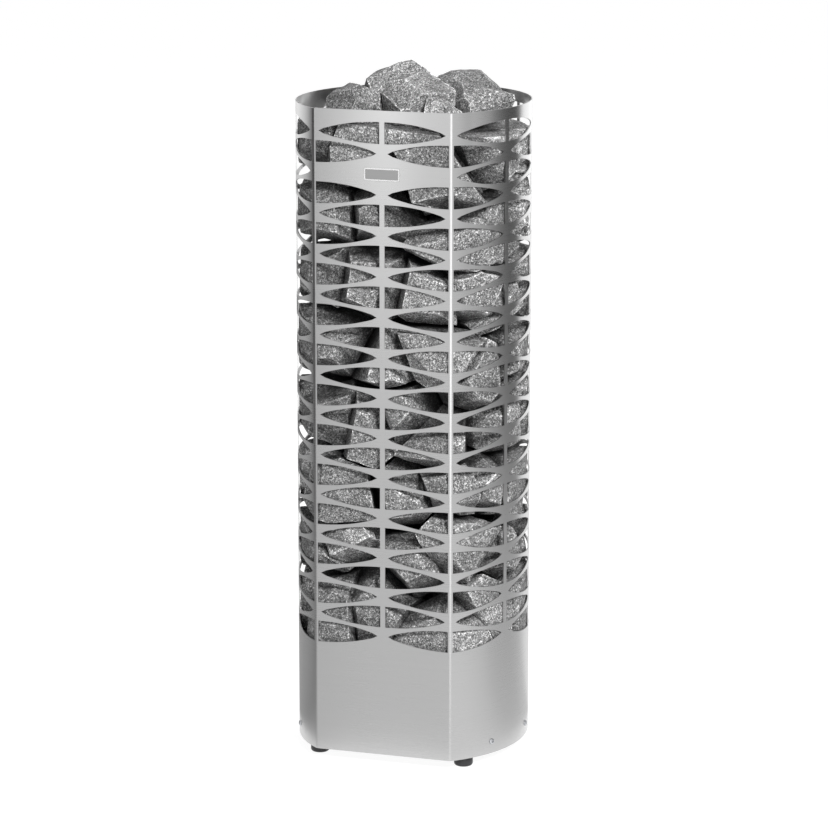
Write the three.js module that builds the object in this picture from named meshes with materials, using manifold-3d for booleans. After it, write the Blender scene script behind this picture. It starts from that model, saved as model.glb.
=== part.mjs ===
// Tower sauna heater: a perforated sheet casing of D section, full of stones round three heating elements.
// Millimetres, +Z up, floor at z = 0, flat front facing -Y, section centred on the Z axis.

import * as THREE from "three";
import { mergeVertices } from "three/addons/utils/BufferGeometryUtils.js";
import Module from "manifold-3d";

const wasm = await Module();
wasm.setup();

// Casing: flat front between two bends, then one elliptical flank round the back
const CASING_WIDTH = 330;
const CASING_REAR_DEPTH = 179;
const CASING_HEIGHT = 920;
const CASING_SHEET = 1.5;
const FRONT_WIDTH = 200;
const BEND_HALF = 1.8;
const GROUND_GAP = 16;

// Lens perforation: every lens is split by the upright bar in its middle
const ROW_PITCH = 57.2;
const FIRST_ROW_DROP = 30.9;
const LENS_HEIGHT = 29.3;
const BAR_WIDTH = 7.3;
const TIP_WEB = 4.4;
const SKIRT_HEIGHT = 156;
const BADGE_ROW = 1;

// Bare badge plate on the band left plain for it
const BADGE_WIDTH = 52;
const BADGE_HEIGHT = 18;
const BADGE_SHEET = 1;
const BADGE_CORNER = 2;

// Base tray that closes the casing below and takes the feet
const TRAY_RISE = 5;
const TRAY_HEIGHT = 30;
const TRAY_SHEET = 2;
const VENT_COUNT = 5;
const VENT_PITCH = 24;
const VENT_WIDTH = 9;
const VENT_LENGTH = 80;
const VENT_FRONT_SETBACK = 70;

// Screws through the casing into the tray flange, spaced along the developed casing
const SCREW_FIRST = 172;
const SCREW_PITCH = 104;
const SCREWS_PER_SIDE = 3;
const SCREW_RISE = 17;
const SCREW_RADIUS = 2;
const SCREW_LENGTH = 9;
const SCREW_HEAD_RADIUS = 4.2;
const SCREW_HEAD_HEIGHT = 2.4;
const SCREW_CROWN_RADIUS = 3.4;
const SCREW_CROWN_HEIGHT = 1.7;

// Levelling feet: swivelling glide, threaded stud with a hexagon, nut welded on the tray
const FOOT_RADIUS = 13.5;
const FOOT_HEIGHT = 14;
const FOOT_EDGE = 4;
const FOOT_SOCKET_DEPTH = 9;
const FOOT_SIDE_INSET = 26;
const FOOT_FRONT_SETBACK = 38;
const FOOT_REAR_SETBACK = 54;
const STUD_RADIUS = 4;
const STUD_HEX_FLATS = 13;
const STUD_HEX_HEIGHT = 5;
const STUD_SPARE = 22;
const WELD_NUT_SIZE = 14;
const WELD_NUT_HEIGHT = 7;

// Stone floor, heat shield under it and the posts that carry both
const FLOOR_DROP = 3;
const FLOOR_SHEET = 2;
const FLOOR_INSET = 4;
const FLOOR_FLANGE = 12;
const FLOOR_SLOT_COUNT = 8;
const FLOOR_SLOT_LENGTH = 34;
const FLOOR_SLOT_WIDTH = 9;
const FLOOR_SLOT_CIRCLE = 112;
const SHIELD_DROP = 46;
const SHIELD_SHEET = 1.5;
const POST_RADIUS = 7;
const POST_NECK_RADIUS = 4.5;
const POST_SIDE_INSET = 43;
const POST_FRONT_SETBACK = 110;
const POST_REAR_SETBACK = 106;

// Heating elements: three tubular hairpins round the middle of the stack
const ELEMENT_COUNT = 3;
const ELEMENT_CIRCLE = 64;
const ELEMENT_LEG_SPACING = 56;
const ELEMENT_TUBE_RADIUS = 4;
const ELEMENT_TOP_DROP = 130;
const ELEMENT_COLD_END = 52;
const PIN_RADIUS = 2;
const PIN_LENGTH = 16;
const BUSH_FLATS = 19;
const BUSH_FLANGE_HEIGHT = 5;
const BUSH_RADIUS = 6.5;
const BUSH_LENGTH = 18;
const ELEMENT_NUT_HEIGHT = 7;

// Electrical connection in the skirt
const STAR_LINK_SHEET = 2;
const STAR_LINK_WIDTH = 12;
const BRACKET_WIDTH = 96;
const BRACKET_BASE = 46;
const BRACKET_SHEET = 1.5;
const BRACKET_REAR_SETBACK = 34;
const TERMINAL_LENGTH = 84;
const TERMINAL_DEPTH = 22;
const TERMINAL_HEIGHT = 20;
const TERMINAL_POLES = 5;
const TERMINAL_RIB = 3;
const TERMINAL_SLOT_DEPTH = 7;
const LEAD_RADIUS = 1.8;
const GLAND_THREAD_RADIUS = 10;
const GLAND_BORE_RADIUS = 6.5;
const GLAND_FLATS = 26;
const GLAND_HEX_DEPTH = 6;
const GLAND_DOME_LENGTH = 14;
const GLAND_NUT_DEPTH = 5;
const GLAND_RISE = 46;
const CABLE_OPENING_RADIUS = 17;

// Stone pile: courses of a ring of stones round a core, angles in degrees and spreads in shares of a stone
const COURSE_HEIGHT = 92;
const STACK_TOP_DROP = 30;
const RING_STONES = 12;
const COURSE_STAGGER = 0.5;
const COURSE_TILT = 4.5;
const SIDE_SPREAD = 0.3;
const RISE_SPREAD = 0.27;
const SIDE_LEAN = 0.18;
const STONE_DEPTH = 40;
const STONE_REACH = 180;
const CORNER_REACH = 108;
const FACE_LEAN = 0.3;
const FACE_LEAST = 35;
const FACE_MOST = 47;
const CORNER_SWING_LEAST = 54;
const CORNER_SWING_MOST = 72;
const CORNER_TRIM_LEAST = 33;
const CORNER_TRIM_MOST = 46;
const SIZE_LEAST = 0.8;
const SIZE_MOST = 1.14;
const WALL_FACETS = 26;

// Loose stones heaped above the rim
const HEAP_STONE = 100;
const ROCK_FACES = 12;
const ROCK_CUT = 0.78;
const ROCK_TWIST = 28;

// Clearances: between seated pieces, and between stones and what they lie round
const SEAT = 0.3;
const STONE_GAP = 1;
const STONE_GAP_MOST = 11;
const STONE_JOIN = 0.1;

// Facets of round pieces and steps along bent ones
const ROUND = 8;
const FOOT_ROUND = 12;
const SMALL_ROUND = 6;
const HAIRPIN_STEPS = 6;
const LEAD_STEPS = 8;

// How far a cut passes the faces that it opens
const CUT_OVER = 1;

// Values worked out from the driving dimensions
const UP = new THREE.Vector3(0, 0, 1);
const bayWidth = FRONT_WIDTH / 2;
const halfWidth = CASING_WIDTH / 2;
const cornerAngle = -Math.acos(FRONT_WIDTH / CASING_WIDTH);
const frontDepth = -CASING_REAR_DEPTH * Math.sin(cornerAngle);
const casingDepth = CASING_REAR_DEPTH + frontDepth;
const sectionCentreY = (frontDepth - CASING_REAR_DEPTH) / 2;
const frontY = -casingDepth / 2;
const rearY = casingDepth / 2;
const rimZ = GROUND_GAP + CASING_HEIGHT;
const skirtTopZ = GROUND_GAP + SKIRT_HEIGHT;
const trayZ = GROUND_GAP + TRAY_RISE;
const trayFloorZ = trayZ + TRAY_SHEET;
const floorZ = skirtTopZ - FLOOR_DROP;
const floorUnderZ = floorZ - FLOOR_SHEET;
const shieldZ = floorZ - SHIELD_DROP;
const elementTopZ = rimZ - ELEMENT_TOP_DROP;
const coldEndZ = floorZ - ELEMENT_COLD_END;
const pinEndZ = coldEndZ - PIN_LENGTH;

// Casing section, measured along the sheet from the middle of the front
const flank = new THREE.EllipseCurve(
  0, sectionCentreY, halfWidth, CASING_REAR_DEPTH, cornerAngle, Math.PI / 2,
);
flank.arcLengthDivisions = 1000;
const flankLength = flank.getLength();
const halfPerimeter = bayWidth + flankLength;
const baysPerSide = Math.floor((halfPerimeter - BAR_WIDTH) / bayWidth);

function flankAt(share, side) {
  const point = flank.getPointAt(share);
  const tangent = flank.getTangentAt(share);
  return {
    point: new THREE.Vector2(side * point.x, point.y),
    normal: new THREE.Vector2(side * tangent.y, -tangent.x),
  };
}

function sectionAt(s) {
  const wrapped = s > halfPerimeter ? s - 2 * halfPerimeter : s;
  const run = Math.abs(wrapped);
  if (run < bayWidth) {
    return { point: new THREE.Vector2(wrapped, frontY), normal: new THREE.Vector2(0, -1) };
  }
  return flankAt(Math.min(1, (run - bayWidth) / flankLength), Math.sign(wrapped));
}

// Runs at which the sheet of the right flank is creased, so that inner plates follow the same facets
function flankColumns() {
  const columns = [bayWidth + BEND_HALF, bayWidth + BAR_WIDTH / 2];
  for (let bay = 1; bay < baysPerSide; bay += 1) {
    const start = bay * bayWidth;
    columns.push(start + bayWidth / 2, start + bayWidth - BAR_WIDTH / 2);
    if (bay + 1 < baysPerSide) {
      columns.push(start + bayWidth + BAR_WIDTH / 2);
    }
  }
  return [...columns, halfPerimeter];
}

// Closed outline of the casing section, moved inwards by the inset
function sectionShape(inset) {
  const insetFrontY = frontY + inset;
  const right = flankColumns().map((run) => {
    const { point, normal } = sectionAt(run);
    return point.addScaledVector(normal, -inset);
  }).filter((point) => point.y > insetFrontY);
  const [first, second] = right;
  const slope = (second.x - first.x) / (second.y - first.y);
  const cornerX = Math.min(bayWidth - BEND_HALF, first.x + slope * (insetFrontY - first.y));
  right.unshift(new THREE.Vector2(cornerX, insetFrontY));
  const left = right.slice(0, -1).reverse().map((p) => new THREE.Vector2(-p.x, p.y));
  return new THREE.Shape([...right, ...left]);
}

// Solids and meshes
function solid(geometry) {
  const bare = geometry.clone();
  bare.deleteAttribute("normal");
  bare.deleteAttribute("uv");
  const merged = mergeVertices(bare, 1e-4);
  return new wasm.Manifold(new wasm.Mesh({
    numProp: 3,
    vertProperties: new Float32Array(merged.attributes.position.array),
    triVerts: new Uint32Array(merged.index.array),
  }));
}

function geometryOf(body) {
  const mesh = body.getMesh();
  const geometry = new THREE.BufferGeometry();
  geometry.setAttribute("position", new THREE.BufferAttribute(mesh.vertProperties, 3));
  geometry.setIndex(new THREE.BufferAttribute(mesh.triVerts, 1));
  geometry.computeVertexNormals();
  return geometry;
}

const heater = new THREE.Group();

function addMesh(name, geometry, finish, parent = heater) {
  const mesh = new THREE.Mesh(geometry, new THREE.MeshStandardMaterial(finish));
  mesh.name = name;
  parent.add(mesh);
  return mesh;
}

function cylinder(radius, bottom, top, sides = ROUND) {
  const geometry = new THREE.CylinderGeometry(radius, radius, top - bottom, sides);
  geometry.rotateX(Math.PI / 2);
  geometry.translate(0, 0, (bottom + top) / 2);
  return geometry;
}

// Radius of a faceted hole whose flats stay clear of a round of the given radius
function clearRadius(radius) {
  return (radius + SEAT) / Math.cos(Math.PI / ROUND);
}

function hexagon(flats, bottom, top) {
  return cylinder(flats / Math.sqrt(3), bottom, top, 6);
}

function plate(shape, bottom, top) {
  const geometry = new THREE.ExtrudeGeometry(shape, {
    depth: top - bottom, bevelEnabled: false, curveSegments: 1,
  });
  geometry.translate(0, 0, bottom);
  return geometry;
}

function roundedRectangle(width, height, corner) {
  const x = width / 2 - corner;
  const y = height / 2 - corner;
  const shape = new THREE.Shape();
  shape.absarc(x, y, corner, 0, Math.PI / 2);
  shape.absarc(-x, y, corner, Math.PI / 2, Math.PI);
  shape.absarc(-x, -y, corner, Math.PI, 1.5 * Math.PI);
  shape.absarc(x, -y, corner, 1.5 * Math.PI, 2 * Math.PI);
  return shape;
}

function lathe(profile, sides = ROUND) {
  const points = profile.map(([radius, height]) => new THREE.Vector2(radius, height));
  return new THREE.LatheGeometry(points, sides).rotateX(Math.PI / 2);
}

// Finishes
const STEEL = { color: 0xb9bbbe, roughness: 0.32, metalness: 1 };
const DARK_STEEL = { color: 0x4a4a4c, roughness: 0.5, metalness: 0.9 };
const ZINC = { color: 0x9fa3a6, roughness: 0.4, metalness: 1 };
const BRASS = { color: 0xb3945a, roughness: 0.4, metalness: 1 };
const ELEMENT_STEEL = { color: 0x3f4244, roughness: 0.55, metalness: 0.8 };
const BLACK_PLASTIC = { color: 0x161618, roughness: 0.45, metalness: 0 };
const CERAMIC = { color: 0xe4e0d6, roughness: 0.6, metalness: 0 };
const LEAD_SLEEVE = { color: 0x8c8a84, roughness: 0.8, metalness: 0 };
const STONE = { color: 0x77777a, roughness: 0.9, metalness: 0 };

// Casing sheet as a flat pattern of triangles in (run along the sheet, height), bent to the section
class BentSheet {
  constructor(thickness) {
    this.thickness = thickness;
    this.keys = new Map();
    this.outer = [];
    this.inner = [];
    this.triangles = [];
  }

  vertex([s, z]) {
    const wrapped = s > halfPerimeter - SEAT ? s - 2 * halfPerimeter : s;
    const key = `${wrapped.toFixed(3)} ${z.toFixed(3)}`;
    if (!this.keys.has(key)) {
      const { point, normal } = sectionAt(s);
      const back = point.clone().addScaledVector(normal, -this.thickness);
      this.keys.set(key, this.outer.length);
      this.outer.push([point.x, point.y, z]);
      this.inner.push([back.x, back.y, z]);
    }
    return this.keys.get(key);
  }

  triangle(a, b, c) {
    const area = (b[0] - a[0]) * (c[1] - a[1]) - (c[0] - a[0]) * (b[1] - a[1]);
    const corners = area > 0 ? [a, b, c] : [a, c, b];
    this.triangles.push(corners.map((corner) => this.vertex(corner)));
  }

  // Fills the band between two lines of points that both rise along one axis
  bridge(first, second, axis) {
    let i = 0;
    let j = 0;
    while (i < first.length - 1 || j < second.length - 1) {
      const firstIsNext = i < first.length - 1
        && (j === second.length - 1 || first[i + 1][axis] <= second[j + 1][axis]);
      const next = firstIsNext ? first[i + 1] : second[j + 1];
      this.triangle(first[i], second[j], next);
      i += firstIsNext ? 1 : 0;
      j += firstIsNext ? 0 : 1;
    }
  }

  // Both faces of the sheet, and a wall along every free edge
  geometry() {
    const count = this.outer.length;
    const edges = new Set();
    const index = [];
    for (const [a, b, c] of this.triangles) {
      index.push(a, b, c, a + count, c + count, b + count);
      edges.add(`${a} ${b}`).add(`${b} ${c}`).add(`${c} ${a}`);
    }
    for (const edge of edges) {
      const [a, b] = edge.split(" ").map(Number);
      if (!edges.has(`${b} ${a}`)) {
        index.push(b, a, a + count, b, a + count, b + count);
      }
    }
    const geometry = new THREE.BufferGeometry();
    const positions = [...this.outer, ...this.inner].flat();
    geometry.setAttribute("position", new THREE.Float32BufferAttribute(positions, 3));
    geometry.setIndex(index);
    return geometry;
  }
}

// Lens geometry: two circular arcs that meet at the tips
const lensHalf = LENS_HEIGHT / 2;
const lensReach = bayWidth - BAR_WIDTH / 2 - TIP_WEB;
const lensArcRadius = (lensReach ** 2 + lensHalf ** 2) / (2 * lensHalf);
const lensColumns = [BAR_WIDTH / 2, bayWidth / 2];
const patternHeight = CASING_HEIGHT - SKIRT_HEIGHT - FIRST_ROW_DROP - (ROW_PITCH + LENS_HEIGHT) / 2;
const rowCount = Math.floor(patternHeight / ROW_PITCH) + 1;

function lensRise(run) {
  return Math.sqrt(lensArcRadius ** 2 - run ** 2) - (lensArcRadius - lensHalf);
}

// Heights of the lenses on one bar, from the top; even bars lead, odd bars follow half a pitch below
function lensHeights(bar) {
  const even = bar % 2 === 0;
  const heights = [];
  for (let row = 0; row < rowCount; row += 1) {
    if (bar !== 0 || row !== BADGE_ROW) {
      heights.push(rimZ - FIRST_ROW_DROP - ROW_PITCH * (row + (even ? 0 : 0.5)));
    }
  }
  return heights;
}

// Upper (+1) or lower (-1) edge of the half lens beside a bar, in order of rising run
function lensEdge({ bar, towards, z }, sign) {
  const edge = lensColumns.map((run) => [bar * bayWidth + towards * run, z + sign * lensRise(run)]);
  edge.push([bar * bayWidth + towards * lensReach, z]);
  return towards > 0 ? edge : edge.reverse();
}

function barCorners(bar, run) {
  const corners = [[run, rimZ]];
  for (const z of lensHeights(bar)) {
    const rise = lensRise(BAR_WIDTH / 2);
    corners.push([run, z + rise], [run, z - rise]);
  }
  corners.push([run, GROUND_GAP]);
  return corners.reverse();
}

function addBay(sheet, bay) {
  const sides = [{ bar: bay, towards: 1 }, { bar: bay + 1, towards: -1 }];
  const lenses = sides.flatMap((side) => lensHeights(side.bar).map((z) => ({ ...side, z })));
  lenses.sort((a, b) => b.z - a.z);
  const start = bay * bayWidth;
  const runs = [...lensColumns, bayWidth - BAR_WIDTH / 2].map((run) => start + run);
  const rim = runs.map((run) => [run, rimZ]);
  const hem = runs.map((run) => [run, GROUND_GAP]);
  for (let i = 0; i <= lenses.length; i += 1) {
    const above = i === 0 ? rim : lensEdge(lenses[i - 1], -1);
    const below = i === lenses.length ? hem : lensEdge(lenses[i], 1);
    sheet.bridge(above, below, 0);
  }
  for (const { bar, towards } of sides) {
    const corners = barCorners(bar, bar * bayWidth + (towards * BAR_WIDTH) / 2);
    const tips = lenses.filter((lens) => lens.bar !== bar)
      .map((lens) => [lens.bar * bayWidth + lens.towards * lensReach, lens.z]).reverse();
    for (let i = 0; i < corners.length; i += 2) {
      const between = tips.filter((tip) => tip[1] > corners[i][1] && tip[1] < corners[i + 1][1]);
      if (between.length > 0) {
        sheet.bridge([corners[i], corners[i + 1]], between, 1);
      }
    }
  }
}

function addBar(sheet, bar) {
  const middle = bar * bayWidth;
  const bends = Math.abs(bar) === 1 ? [middle - BEND_HALF, middle + BEND_HALF] : [];
  const columns = [middle - BAR_WIDTH / 2, ...bends, middle + BAR_WIDTH / 2];
  for (let i = 0; i + 1 < columns.length; i += 1) {
    sheet.bridge(barCorners(bar, columns[i]), barCorners(bar, columns[i + 1]), 1);
  }
}

// Plain strip with the closing seam in the middle of the back
function addRearStrip(sheet) {
  const lastRun = baysPerSide * bayWidth - BAR_WIDTH / 2;
  const seam = [[halfPerimeter, GROUND_GAP], [halfPerimeter, rimZ]];
  sheet.bridge(barCorners(baysPerSide, lastRun), seam, 1);
  sheet.bridge(seam, barCorners(-baysPerSide, 2 * halfPerimeter - lastRun), 1);
}

const screwRuns = [];
for (let i = 0; i < SCREWS_PER_SIDE; i += 1) {
  const run = SCREW_FIRST + i * SCREW_PITCH;
  screwRuns.push(-run, run);
}
const screwZ = GROUND_GAP + SCREW_RISE;

// Place and outward normal on the creased sheet, between the two creases that the run lies between
function facetAt(run) {
  const columns = flankColumns();
  const next = columns.findIndex((column) => column > Math.abs(run));
  const from = sectionAt(Math.sign(run) * columns[next - 1]).point;
  const to = sectionAt(Math.sign(run) * columns[next]).point;
  const share = (Math.abs(run) - columns[next - 1]) / (columns[next] - columns[next - 1]);
  const along = to.clone().sub(from).normalize().multiplyScalar(Math.sign(run));
  return { point: from.lerp(to, share), normal: new THREE.Vector2(along.y, -along.x) };
}

function alongNormal(object, run, z, offset) {
  const { point, normal } = facetAt(run);
  object.position.set(point.x + normal.x * offset, point.y + normal.y * offset, z);
  object.quaternion.setFromUnitVectors(UP, new THREE.Vector3(normal.x, normal.y, 0));
  object.updateMatrix();
  return object;
}

function screwHoles() {
  const depth = SCREW_LENGTH;
  const pin = cylinder(clearRadius(SCREW_RADIUS), -depth, depth);
  return screwRuns.map((run) => {
    const place = alongNormal(new THREE.Object3D(), run, screwZ, 0);
    return solid(pin.clone().applyMatrix4(place.matrix));
  });
}

function cut(body, tools) {
  return tools.reduce((rest, tool) => rest.subtract(tool), body);
}

const glandZ = trayFloorZ + GLAND_RISE;

function rearward(geometry, y, z) {
  return geometry.clone().rotateX(-Math.PI / 2).translate(0, y, z);
}

function buildCasing() {
  const sheet = new BentSheet(CASING_SHEET);
  for (let bay = -baysPerSide; bay < baysPerSide; bay += 1) {
    addBay(sheet, bay);
  }
  for (let bar = 1 - baysPerSide; bar < baysPerSide; bar += 1) {
    addBar(sheet, bar);
  }
  addRearStrip(sheet);
  const opening = cylinder(CABLE_OPENING_RADIUS, -BRACKET_REAR_SETBACK / 2, BRACKET_REAR_SETBACK / 2);
  return cut(solid(sheet.geometry()), [...screwHoles(), solid(rearward(opening, rearY, glandZ))]);
}

addMesh("casing", geometryOf(buildCasing()), STEEL);

// Badge plate
const badge = plate(roundedRectangle(BADGE_WIDTH, BADGE_HEIGHT, BADGE_CORNER), 0, BADGE_SHEET);
const badgeMesh = addMesh("badge_plate", badge, STEEL);
badgeMesh.rotation.x = Math.PI / 2;
badgeMesh.position.set(0, frontY - SEAT, rimZ - FIRST_ROW_DROP - BADGE_ROW * ROW_PITCH);

// Casing screws with domed heads
const screwProfile = [
  [0, -SCREW_LENGTH],
  [SCREW_RADIUS, -SCREW_LENGTH],
  [SCREW_RADIUS, 0],
  [SCREW_HEAD_RADIUS, 0],
  [SCREW_CROWN_RADIUS, SCREW_CROWN_HEIGHT],
  [0, SCREW_HEAD_HEIGHT],
];
screwRuns.forEach((run, i) => {
  const screw = addMesh(`casing_screw_${i + 1}`, lathe(screwProfile), ZINC);
  alongNormal(screw, run, screwZ, SEAT);
});

// Half width of the casing at a depth
function flankX(y) {
  return halfWidth * Math.sqrt(1 - ((y - sectionCentreY) / CASING_REAR_DEPTH) ** 2);
}

// Levelling feet positions
const footRearY = rearY - FOOT_REAR_SETBACK;
const footFrontY = frontY + FOOT_FRONT_SETBACK;
const footRearX = flankX(footRearY) - FOOT_SIDE_INSET;
const footFrontX = flankX(footFrontY) - FOOT_SIDE_INSET;
const footPlaces = {
  front_left: [-footFrontX, footFrontY],
  front_right: [footFrontX, footFrontY],
  rear_left: [-footRearX, footRearY],
  rear_right: [footRearX, footRearY],
};

function upright(radius, x, y, bottom, top, sides = ROUND) {
  return solid(cylinder(radius, bottom, top, sides).translate(x, y, 0));
}

function bore(radius, x, y, bottom, top) {
  return upright(clearRadius(radius), x, y, bottom, top);
}

// Base tray
function buildTray() {
  const inset = CASING_SHEET + SEAT;
  const pan = solid(plate(sectionShape(inset), trayZ, trayZ + TRAY_HEIGHT));
  const inside = solid(plate(sectionShape(inset + TRAY_SHEET), trayFloorZ, trayZ + 2 * TRAY_HEIGHT));
  const holes = Object.values(footPlaces).map(([x, y]) => (
    bore(STUD_RADIUS + SEAT, x, y, 0, trayZ + TRAY_HEIGHT)
  ));
  const slot = plate(roundedRectangle(VENT_WIDTH, VENT_LENGTH, VENT_WIDTH / 2), 0, trayZ + TRAY_HEIGHT);
  const slotY = frontY + VENT_FRONT_SETBACK + VENT_LENGTH / 2;
  for (let i = 0; i < VENT_COUNT; i += 1) {
    const x = (i - (VENT_COUNT - 1) / 2) * VENT_PITCH;
    holes.push(solid(slot.clone().translate(x, slotY, 0)));
  }
  return cut(pan.subtract(inside), [...holes, ...screwHoles()]);
}

addMesh("base_tray", geometryOf(buildTray()), DARK_STEEL);

// Feet: the stud turns in the welded nut and in the glide's socket, and carries the glide up and down
const studFootZ = FOOT_HEIGHT - FOOT_SOCKET_DEPTH + SEAT;
const studTopZ = trayFloorZ + WELD_NUT_HEIGHT + STUD_SPARE;
const socketRadius = clearRadius(STUD_RADIUS);
const footProfile = [
  [0, 0],
  [FOOT_RADIUS - FOOT_EDGE, 0],
  [FOOT_RADIUS - FOOT_EDGE * (1 - Math.SQRT1_2), FOOT_EDGE * (1 - Math.SQRT1_2)],
  [FOOT_RADIUS, FOOT_EDGE],
  [FOOT_RADIUS, FOOT_HEIGHT],
  [socketRadius, FOOT_HEIGHT],
  [socketRadius, FOOT_HEIGHT - FOOT_SOCKET_DEPTH],
  [0, FOOT_HEIGHT - FOOT_SOCKET_DEPTH],
];
const stud = solid(cylinder(STUD_RADIUS, studFootZ, studTopZ))
  .add(solid(hexagon(STUD_HEX_FLATS, FOOT_HEIGHT + SEAT, FOOT_HEIGHT + SEAT + STUD_HEX_HEIGHT)));
const weldNutZ = trayFloorZ + SEAT;
const weldNut = solid(cylinder(WELD_NUT_SIZE / Math.SQRT2, weldNutZ, weldNutZ + WELD_NUT_HEIGHT, 4))
  .subtract(bore(STUD_RADIUS, 0, 0, 0, studTopZ));

for (const [name, [x, y]] of Object.entries(footPlaces)) {
  const foot = new THREE.Group();
  foot.position.set(x, y, 0);
  heater.add(foot);
  addMesh(`foot_glide_${name}`, lathe(footProfile, FOOT_ROUND), BLACK_PLASTIC, foot);
  addMesh(`foot_stud_${name}`, geometryOf(stud), ZINC, foot);
  addMesh(`weld_nut_${name}`, geometryOf(weldNut), ZINC, foot);
}

// Places of the element legs, and of the posts
const elementAngles = Array.from({ length: ELEMENT_COUNT }, (_, i) => (
  (2 * Math.PI * (i + 1 / 4)) / ELEMENT_COUNT
));
const legHalf = ELEMENT_LEG_SPACING / 2;
const legPlaces = elementAngles.flatMap((angle) => [-legHalf, legHalf].map((along) => [
  ELEMENT_CIRCLE * Math.cos(angle) - along * Math.sin(angle),
  ELEMENT_CIRCLE * Math.sin(angle) + along * Math.cos(angle),
]));
const postX = halfWidth - POST_SIDE_INSET;
const postDepths = [frontY + POST_FRONT_SETBACK, rearY - POST_REAR_SETBACK];
const postPlaces = [-postX, postX].flatMap((x) => postDepths.map((y) => [x, y]));

// Stone floor with a turned-down edge, bush holes and slots for the rising air
function buildFloor() {
  const inset = CASING_SHEET + FLOOR_INSET;
  const pan = solid(plate(sectionShape(inset), floorZ - FLOOR_FLANGE, floorZ));
  const inside = solid(plate(sectionShape(inset + FLOOR_SHEET), floorZ - 2 * FLOOR_FLANGE, floorUnderZ));
  const low = floorUnderZ - CUT_OVER;
  const high = floorZ + CUT_OVER;
  const holes = legPlaces.map(([x, y]) => bore(BUSH_RADIUS, x, y, low, high));
  const outline = roundedRectangle(FLOOR_SLOT_LENGTH, FLOOR_SLOT_WIDTH, FLOOR_SLOT_WIDTH / 2);
  const slot = plate(outline, low, high);
  slot.translate(FLOOR_SLOT_CIRCLE, 0, 0);
  for (let i = 0; i < FLOOR_SLOT_COUNT; i += 1) {
    holes.push(solid(slot.clone().rotateZ(((i + 0.5) * 2 * Math.PI) / FLOOR_SLOT_COUNT)));
  }
  return cut(pan.subtract(inside), holes);
}

addMesh("stone_floor", geometryOf(buildFloor()), DARK_STEEL);

// Heat shield on the shoulders of the posts
function buildShield() {
  const sheet = solid(plate(sectionShape(CASING_SHEET + FLOOR_INSET), shieldZ, shieldZ + SHIELD_SHEET));
  const holes = [
    ...legPlaces.map(([x, y]) => bore(BUSH_RADIUS, x, y, 0, floorZ)),
    ...postPlaces.map(([x, y]) => bore(POST_NECK_RADIUS, x, y, 0, floorZ)),
  ];
  return cut(sheet, holes);
}

addMesh("heat_shield", geometryOf(buildShield()), ZINC);

postPlaces.forEach(([x, y], i) => {
  const bottom = trayFloorZ + SEAT;
  const shoulder = shieldZ - SEAT;
  const top = floorUnderZ - SEAT;
  const profile = [
    [0, bottom], [POST_RADIUS, bottom], [POST_RADIUS, shoulder],
    [POST_NECK_RADIUS, shoulder], [POST_NECK_RADIUS, top], [0, top],
  ];
  addMesh(`floor_post_${i + 1}`, lathe(profile), ZINC).position.set(x, y, 0);
});

// Hairpin element: two legs and a half round, with even steps in its parameter rather than in its length
class Hairpin extends THREE.Curve {
  constructor(bottom, top, half, bendSteps) {
    super();
    Object.assign(this, { bottom, top, half, bendSteps });
  }

  getUtoTmapping(u) {
    return u;
  }

  getPoint(t, target = new THREE.Vector3()) {
    const step = t * (this.bendSteps + 2) - 1;
    const bendZ = this.top - this.half;
    if (step < 0) {
      return target.set(-this.half, 0, bendZ + step * (bendZ - this.bottom));
    }
    if (step > this.bendSteps) {
      return target.set(this.half, 0, bendZ - (step - this.bendSteps) * (bendZ - this.bottom));
    }
    const angle = Math.PI * (1 - step / this.bendSteps);
    return target.set(this.half * Math.cos(angle), 0, bendZ + this.half * Math.sin(angle));
  }
}

function circle(radius, sides) {
  const points = Array.from({ length: sides }, (_, i) => {
    const angle = (2 * Math.PI * i) / sides;
    return new THREE.Vector2(radius * Math.cos(angle), radius * Math.sin(angle));
  });
  return new THREE.Shape(points);
}

function buildElement() {
  const path = new Hairpin(coldEndZ, elementTopZ, legHalf, HAIRPIN_STEPS);
  const tube = new THREE.ExtrudeGeometry(circle(ELEMENT_TUBE_RADIUS, SMALL_ROUND), {
    extrudePath: path, steps: HAIRPIN_STEPS + 2, bevelEnabled: false,
  });
  return [-legHalf, legHalf].reduce((body, x) => {
    const flangeZ = floorZ + SEAT;
    const flange = solid(hexagon(BUSH_FLATS, flangeZ, flangeZ + BUSH_FLANGE_HEIGHT).translate(x, 0, 0));
    const thread = upright(BUSH_RADIUS, x, 0, flangeZ - BUSH_LENGTH, flangeZ + CUT_OVER);
    const pin = upright(PIN_RADIUS, x, 0, pinEndZ, coldEndZ + CUT_OVER, SMALL_ROUND);
    return body.add(flange).add(thread).add(pin);
  }, solid(tube));
}

const elementGeometry = geometryOf(buildElement());
const elementNutZ = floorUnderZ - SEAT;
const elementNut = solid(hexagon(BUSH_FLATS, elementNutZ - ELEMENT_NUT_HEIGHT, elementNutZ))
  .subtract(bore(BUSH_RADIUS, 0, 0, 0, floorZ));

elementAngles.forEach((angle, i) => {
  const group = new THREE.Group();
  group.position.set(ELEMENT_CIRCLE * Math.cos(angle), ELEMENT_CIRCLE * Math.sin(angle), 0);
  group.rotation.z = angle + Math.PI / 2;
  heater.add(group);
  addMesh(`heating_element_${i + 1}`, elementGeometry, ELEMENT_STEEL, group);
  for (const [side, x] of [["a", -legHalf], ["b", legHalf]]) {
    const nut = addMesh(`element_nut_${i + 1}${side}`, geometryOf(elementNut), BRASS, group);
    nut.position.x = x;
  }
});

// Star link that joins one leg of each element
const linkedLegs = legPlaces.filter((_, i) => i % 2 === 1);
const leadLegs = legPlaces.filter((_, i) => i % 2 === 0).sort((a, b) => a[0] - b[0]);
const linkZ = (coldEndZ + pinEndZ) / 2;

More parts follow.
